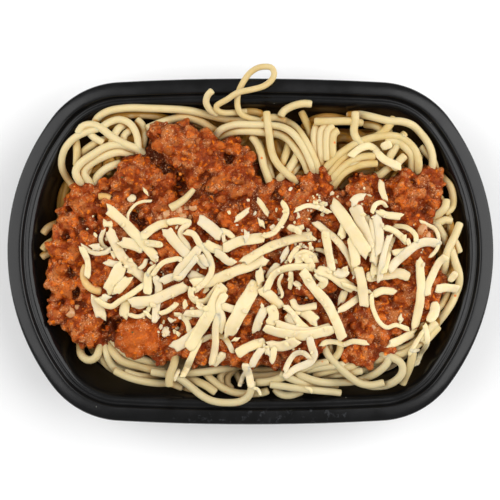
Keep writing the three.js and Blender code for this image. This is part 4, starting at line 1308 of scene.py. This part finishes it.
def shred_shape(heights, bed, width, row):
    """One shred where it lies: rings of points from end to end, its middle line and its thickness."""
    path = spline(row, SHRED_STEP)
    thin = width < THIN_SHRED
    thickness = rng.uniform(0.9, 1.3) if thin else rng.uniform(1.4, 2.1)
    half = width / 2
    foot = max(half * 0.7, 0.7)
    z = rest_on(heights, path, foot, 5 if thin else 9) - foot + thickness / 2 - 0.2
    lift = z - bed[cell_of(path[:, 0], path[:, 1])]
    z = z - np.where(lift > 0, lift - SOFTNESS * (1 - np.exp(-lift / SOFTNESS)), 0)
    n = len(path)
    length = SHRED_STEP * (n - 1)
    from_end = np.minimum(np.arange(n), np.arange(n)[::-1]) * SHRED_STEP
    # The ends of a long shred lift a little.
    lifted = rng.uniform(0, 0.9) if thin else rng.uniform(0, 0.4)
    z = z + lifted * np.exp(-from_end / 2.5) * (length > 6)
    middle = np.column_stack([path, z])
    along = unit(np.gradient(middle, axis=0))
    flat = unit(np.column_stack([-along[:, 1], along[:, 0], np.zeros(n)]))
    left, right = [heights[cell_of(path[:, 0] + s * flat[:, 0] * half, path[:, 1] + s * flat[:, 1] * half)]
                   for s in (1, -1)]
    # It banks towards the lower side, and turns along its length.
    bank = np.clip((left - right) / width, -0.6, 0.6).mean() * 0.6 + rng.uniform(-0.2, 0.2)
    twist = rng.uniform(-0.35, 0.35) * (3 if thin else 1)
    angle = np.arctan(bank) + twist * (np.arange(n) / (n - 1) - 0.5)
    up = np.cross(along, flat)
    across = flat * np.cos(angle)[:, None] + up * np.sin(angle)[:, None]
    up = np.cross(along, across)
    # Torn edges: narrower and rougher towards the ends.
    blunt = rng.uniform(0.9, 2.6)
    narrowing = np.clip(1 - from_end / blunt, 0, 1) ** 2 * rng.uniform(0.5, 0.85)
    taper = np.sqrt(np.clip(1 - narrowing, 0.1, 1))
    rough = 0.012 + 0.07 * np.exp(-from_end / 1.6)
    wide_left, wide_right = [width * (taper + wander(n, 6, 0.05) + wander(n, 1, 1.0) * rough)
                             for _ in range(2)]
    deep = thickness * (0.55 + 0.45 * taper + wander(n, 6, 0.06))
    slant = rng.uniform(-0.45, 0.45)
    u, v = shred_ring()
    wide = np.where(u[None, :] > 0, wide_left[:, None], wide_right[:, None])
    tall = deep[:, None] * (1 + slant * u[None, :] * 1.4)
    skew = rng.uniform(-0.9, 0.9) * width * (from_end < 0.1)
    ring = (middle[:, None, :] + (u[None, :] * wide)[:, :, None] * across[:, None, :]
            + (v[None, :] * tall)[:, :, None] * up[:, None, :]
            + (skew[:, None] * u[None, :])[:, :, None] * along[:, None, :])
    ring += rng.normal(0, 0.025, ring.shape)
    return ring, middle, thickness


def lay_shreds(heights):
    """Lays the shreds one over another and builds them as flat bars with torn edges."""
    points, faces, tone = [], [], []
    bed = blurred(heights, 1.5)
    for width, row in SHREDS:
        width *= SHRED_FULLNESS
        ring, middle, thickness = shred_shape(heights, bed, width, row)
        faces += tube_faces(len(ring), SHRED_SIDES, len(points))
        points.extend(ring.reshape(-1, 3).tolist())
        tone += [rng.uniform(0, 1)] * (len(ring) * SHRED_SIDES)
        press(heights, middle[:, :2], middle[:, 2], max(width / 2 * 0.9, 0.7), flat=thickness / 2)
    mesh = mesh_from("cheese_shreds", points, faces)
    set_attribute(mesh, "tone", tone)
    outward(mesh)
    return mesh


def outward(mesh):
    """Turns every face to the outside."""
    shell = bmesh.new()
    shell.from_mesh(mesh)
    bmesh.ops.recalc_face_normals(shell, faces=shell.faces[:])
    shell.to_mesh(mesh)
    shell.free()


def crumbs_mesh(name, spots, squash=0.5, detail=1):
    """Small uneven crumbs, of twenty faces each when plain: middle and radius of each."""
    corners, sides = sphere_pattern(detail)
    spread = 0.32 if detail == 1 else 0.0
    points, faces, tone = [], [], []
    for x, y, z, r in spots:
        uneven = rng.uniform(0.92 - spread, 0.92 + spread, (len(corners), 1))
        shape = corners * uneven * (rng.uniform(0.8, 1.7), 1, squash)
        turn = rng.uniform(0, 2 * math.pi)
        c, s = math.cos(turn), math.sin(turn)
        shape = shape @ np.array([(c, s, 0), (-s, c, 0), (0, 0, 1)]) * r + (x, y, z)
        faces += (sides + len(points)).tolist()
        points += shape.tolist()
        tone += [rng.uniform(0, 1)] * len(corners)
    mesh = mesh_from(name, points, faces, smooth=False)
    set_attribute(mesh, "tone", tone)
    outward(mesh)
    return mesh


# Where crumbs of cheese lie: middle, spread and how many.
CRUMB_PATCHES = [
    (0, -10, 22, 26), (28, 19.5, 2.6, 22), (21, -2, 7, 45), (-44, -6, 8, 25), (-27, -19, 6, 25),
    (-58, 3, 6, 10), (11, 9, 6, 14), (10, -24, 8, 20), (26, -36, 6, 12), (60, 3, 8, 12),
    (-34.5, -31, 2.2, 10), (52, 20, 5, 8),
]
# Softened onion that shows through the sauce: middle and radius.
ONION_BITS = [
    (-36.8, 13.4, 1.7), (-33.5, 15, 2.6), (-30, 16.6, 2.5), (-28.4, 14, 2.4), (-26.4, 17.4, 2.4),
    (-24.8, 14.6, 2.2), (-23.6, 18, 1.7), (-74, -25, 2.4), (-71.5, -23.2, 1.6), (70, 8.6, 2.3),
    (72.2, 6.8, 1.5), (49.5, -30.5, 2.0), (33, -37.4, 1.6),
]
# One round bead of cheese.
BEAD_X, BEAD_Y, BEAD_RADIUS, BEAD_RISE = -48.6, 21.8, 1.8, 1.3
# Strands that show through the sauce: how far each is sunk in it, then points along the middle.
SAUCED_STRANDS = [
    (2.7, [(-67.3, -5.5), (-68.4, -9), (-67.6, -12.5), (-65, -15.2), (-61, -16.4)]),
    (3.5, [(-62.5, 22.5), (-60, 22.6), (-57.5, 21.8)]),
]
# A strand's tapering end that comes out of the sauce.
STUB = [(-32.8, 17.6), (-28.9, 19.9), (-26, 22.3), (-23, 25.6)]
STUB_SUNK = 1.0
STUB_RADIUS, STUB_TAPER, STUB_TONE = 1.85, 0.5, 0.7
STIFF_BEND = 20


def laid_in_sauce(heights, row, sunk):
    """The line of a strand that lies on what is there, sunk into it by so much."""
    path = spline(row, STRAND_STEP)
    z = rest_on(heights, path, STRAND_RADIUS, STIFF_BEND) - sunk
    press(heights, path, z, STRAND_RADIUS)
    return np.column_stack([path, z])


def onion_spots(heights):
    x, y, r = np.array(ONION_BITS).T
    return np.column_stack([x, y, heights[cell_of(x, y)] - r * 0.46, r])


def cheese_crumb_spots(heights):
    """Crumbs lie in patches between the shreds, on top of what is there."""
    at = np.vstack([rng.normal(0, 1, (n, 2)) * spread + (x, y) for x, y, spread, n in CRUMB_PATCHES])
    size = 0.45 + rng.exponential(0.35, len(at)).clip(0, 1.0)
    inside = inside_edge(at[:, 0], at[:, 1], SAUCE_EDGE) > 1.5
    at, size = at[inside], size[inside]
    return np.column_stack([at, heights[cell_of(at[:, 0], at[:, 1])] + size * 0.2, size])


# ------------------------------------------------------------------ putting it together

rim_distance = rim_inset(GRID_X, GRID_Y)
heights = np.where(rim_distance < 0, 0.0, tray_height(rim_distance))
heights = np.where(rim_distance > CORE_INSET, np.maximum(heights, core_height(GRID_X, GRID_Y)), heights)

tray = tray_piece()
core = core_piece()
sweep, roughen, strew = strand_tree(), relief_tree(), scatter_tree()


def swept(name, lines, step, radius, sides, material, taper=1.0):
    """Strands of one thickness, swept along lines."""
    wires = wires_mesh(name + "_wires", lines, step, taper)
    return grown(name, wires, sweep, material, {"Radius": radius * MM, "Sides": sides})


strands = swept("spaghetti_strands", lay_strands(heights), 1.5, STRAND_RADIUS, 10, PASTA)
store_pits(strands, heights)
loop = swept("looped_strand_pasta", [LOOP], 1.0, LOOP_RADIUS, 16, PASTA)
curled = swept("curled_end_pasta", [CURLED_END], 0.8, CURLED_END_RADIUS, 16, PASTA)

sauce = grown("bolognese", sauce_block(blurred(heights, 2.5)), roughen, SAUCE, {})
# Loose bits: name, number to a square metre, smallest and largest radius, stretch, seed and material.
STREWN = [
    ("mince_grains", 14000.0, 0.5, 1.2, 1.4, 5, GRAINS),
    ("carrot_bits", 1100.0, 0.4, 1.0, 1.0, 11, CARROT),
    ("herb_flecks", 2600.0, 0.2, 0.42, 2.0, 17, HERB),
]
grains, carrots, herbs = [
    grown(name, sauce.data.copy(), strew, material, {
        "Density": density, "Smallest": smallest * MM, "Largest": largest * MM, "Stretch": stretch,
        "Seed": seed})
    for name, density, smallest, largest, stretch, seed, material in STREWN]

raise_to_mesh(heights, sauce)
store_pits(sauce, heights)
sauced_lines = [laid_in_sauce(heights, row, sunk) for sunk, row in SAUCED_STRANDS]
stub_line = laid_in_sauce(heights, STUB, STUB_SUNK)
stub = swept("strand_end_pasta", [stub_line], 1.2, STUB_RADIUS, 12, PASTA, STUB_TAPER)
set_attribute(stub.data, "tone", np.full(len(stub.data.vertices), STUB_TONE))
sauced = swept("strands_in_sauce", sauced_lines, 1.2, STRAND_RADIUS, 12, SAUCED_PASTA)
onions = grown("onion_bits", crumbs_mesh("onion_source", onion_spots(heights), 0.55, 3), roughen, ONION, {
    "Lump Size": 2.4, "Lump Height": 0.7, "Grain Size": 0.9, "Grain Height": 0.15})
cheese = grown("cheese_shreds", lay_shreds(heights), roughen, CHEESE, {
    "Lump Size": 3.0, "Lump Height": 0.05, "Grain Size": 1.2, "Grain Height": 0.0})
store_pits(cheese, heights)
crumb_mesh = crumbs_mesh("cheese_crumbs", cheese_crumb_spots(heights))
crumbs = new_piece("cheese_crumbs", crumb_mesh, CHEESE_CRUMB)
bead_z = heights[cell_of(np.float64(BEAD_X), np.float64(BEAD_Y))] + BEAD_RISE
bead_mesh = crumbs_mesh("cheese_lump", [(BEAD_X, BEAD_Y, bead_z, BEAD_RADIUS)], 0.8, 3)
bead = new_piece("cheese_lump", bead_mesh, CHEESE)

PLACED = [
    (tray, "black_plastic", ["tray"]),
    (core, "cooked_pasta", []),
    (strands, "cooked_pasta", ["spaghetti"]),
    (loop, "cooked_pasta", ["looped_strand"]),
    (curled, "cooked_pasta", ["curled_strand_end"]),
    (sauce, "meat_sauce", ["bolognese_sauce"]),
    (grains, "meat_sauce", []),
    (carrots, "meat_sauce", []),
    (herbs, "meat_sauce", []),
    (onions, "meat_sauce", []),
    (sauced, "cooked_pasta", []),
    (stub, "cooked_pasta", []),
    (cheese, "cheese", ["grated_cheese"]),
    (crumbs, "cheese", []),
    (bead, "cheese", []),
]
for piece, slot, nodes in PLACED:
    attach(piece, "root")
    if nodes:
        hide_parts(*nodes)

# ------------------------------------------------------------------ floor, light and camera

FLOOR_REACH, FLOOR_LEVEL = 1500, -0.2
LIGHT_SIZE = (700, 1200)
LIGHT_AIM = (0, 0, 40)
AMBIENT = 0.3
FRAME_WIDTH = 205.15
RIM_HEIGHT = 40.0
LENS = 100.0
SENSOR = 36.0
CAMERA_X, CAMERA_Y = -0.16, 0.6

floor_corners = [(x * FLOOR_REACH, y * FLOOR_REACH, FLOOR_LEVEL)
                 for x, y in ((-1, -1), (1, -1), (1, 1), (-1, 1))]
floor = new_piece("floor", mesh_from("floor", floor_corners, [(0, 1, 2, 3)]), pale_floor())


def soft_light(name, place, watts):
    """A large soft box that faces the food."""
    data = bpy.data.lights.new(name, "AREA")
    data.shape = "RECTANGLE"
    data.size, data.size_y = LIGHT_SIZE[0] * MM, LIGHT_SIZE[1] * MM
    data.energy = watts
    made = new_object(name, data)
    made.location = Vector(place) * MM
    aim = Vector(LIGHT_AIM) * MM - made.location
    made.rotation_euler = aim.to_track_quat("-Z", "Y").to_euler()


soft_light("left_soft_box", (-620, 90, 590), 7.0)
soft_light("right_soft_box", (600, 90, 590), 8.6)

world = bpy.data.worlds.new("soft_room")
world.use_nodes = True
background = world.node_tree.nodes["Background"]
background.inputs["Color"].default_value = hex_colour("#ffffff")
background.inputs["Strength"].default_value = AMBIENT
bpy.context.scene.world = world

bpy.context.scene.view_settings.view_transform = "Standard"

# The camera looks straight down and takes in the frame's width at the height of the rim.
camera_data = bpy.data.cameras.new("camera")
camera_data.lens = LENS
camera_data.sensor_width = SENSOR
camera_data.clip_start = 0.01
camera = new_object("camera", camera_data)
camera.location = Vector((CAMERA_X, CAMERA_Y, RIM_HEIGHT + FRAME_WIDTH * LENS / SENSOR)) * MM
camera.rotation_euler = (0, 0, 0)
bpy.context.scene.camera = camera
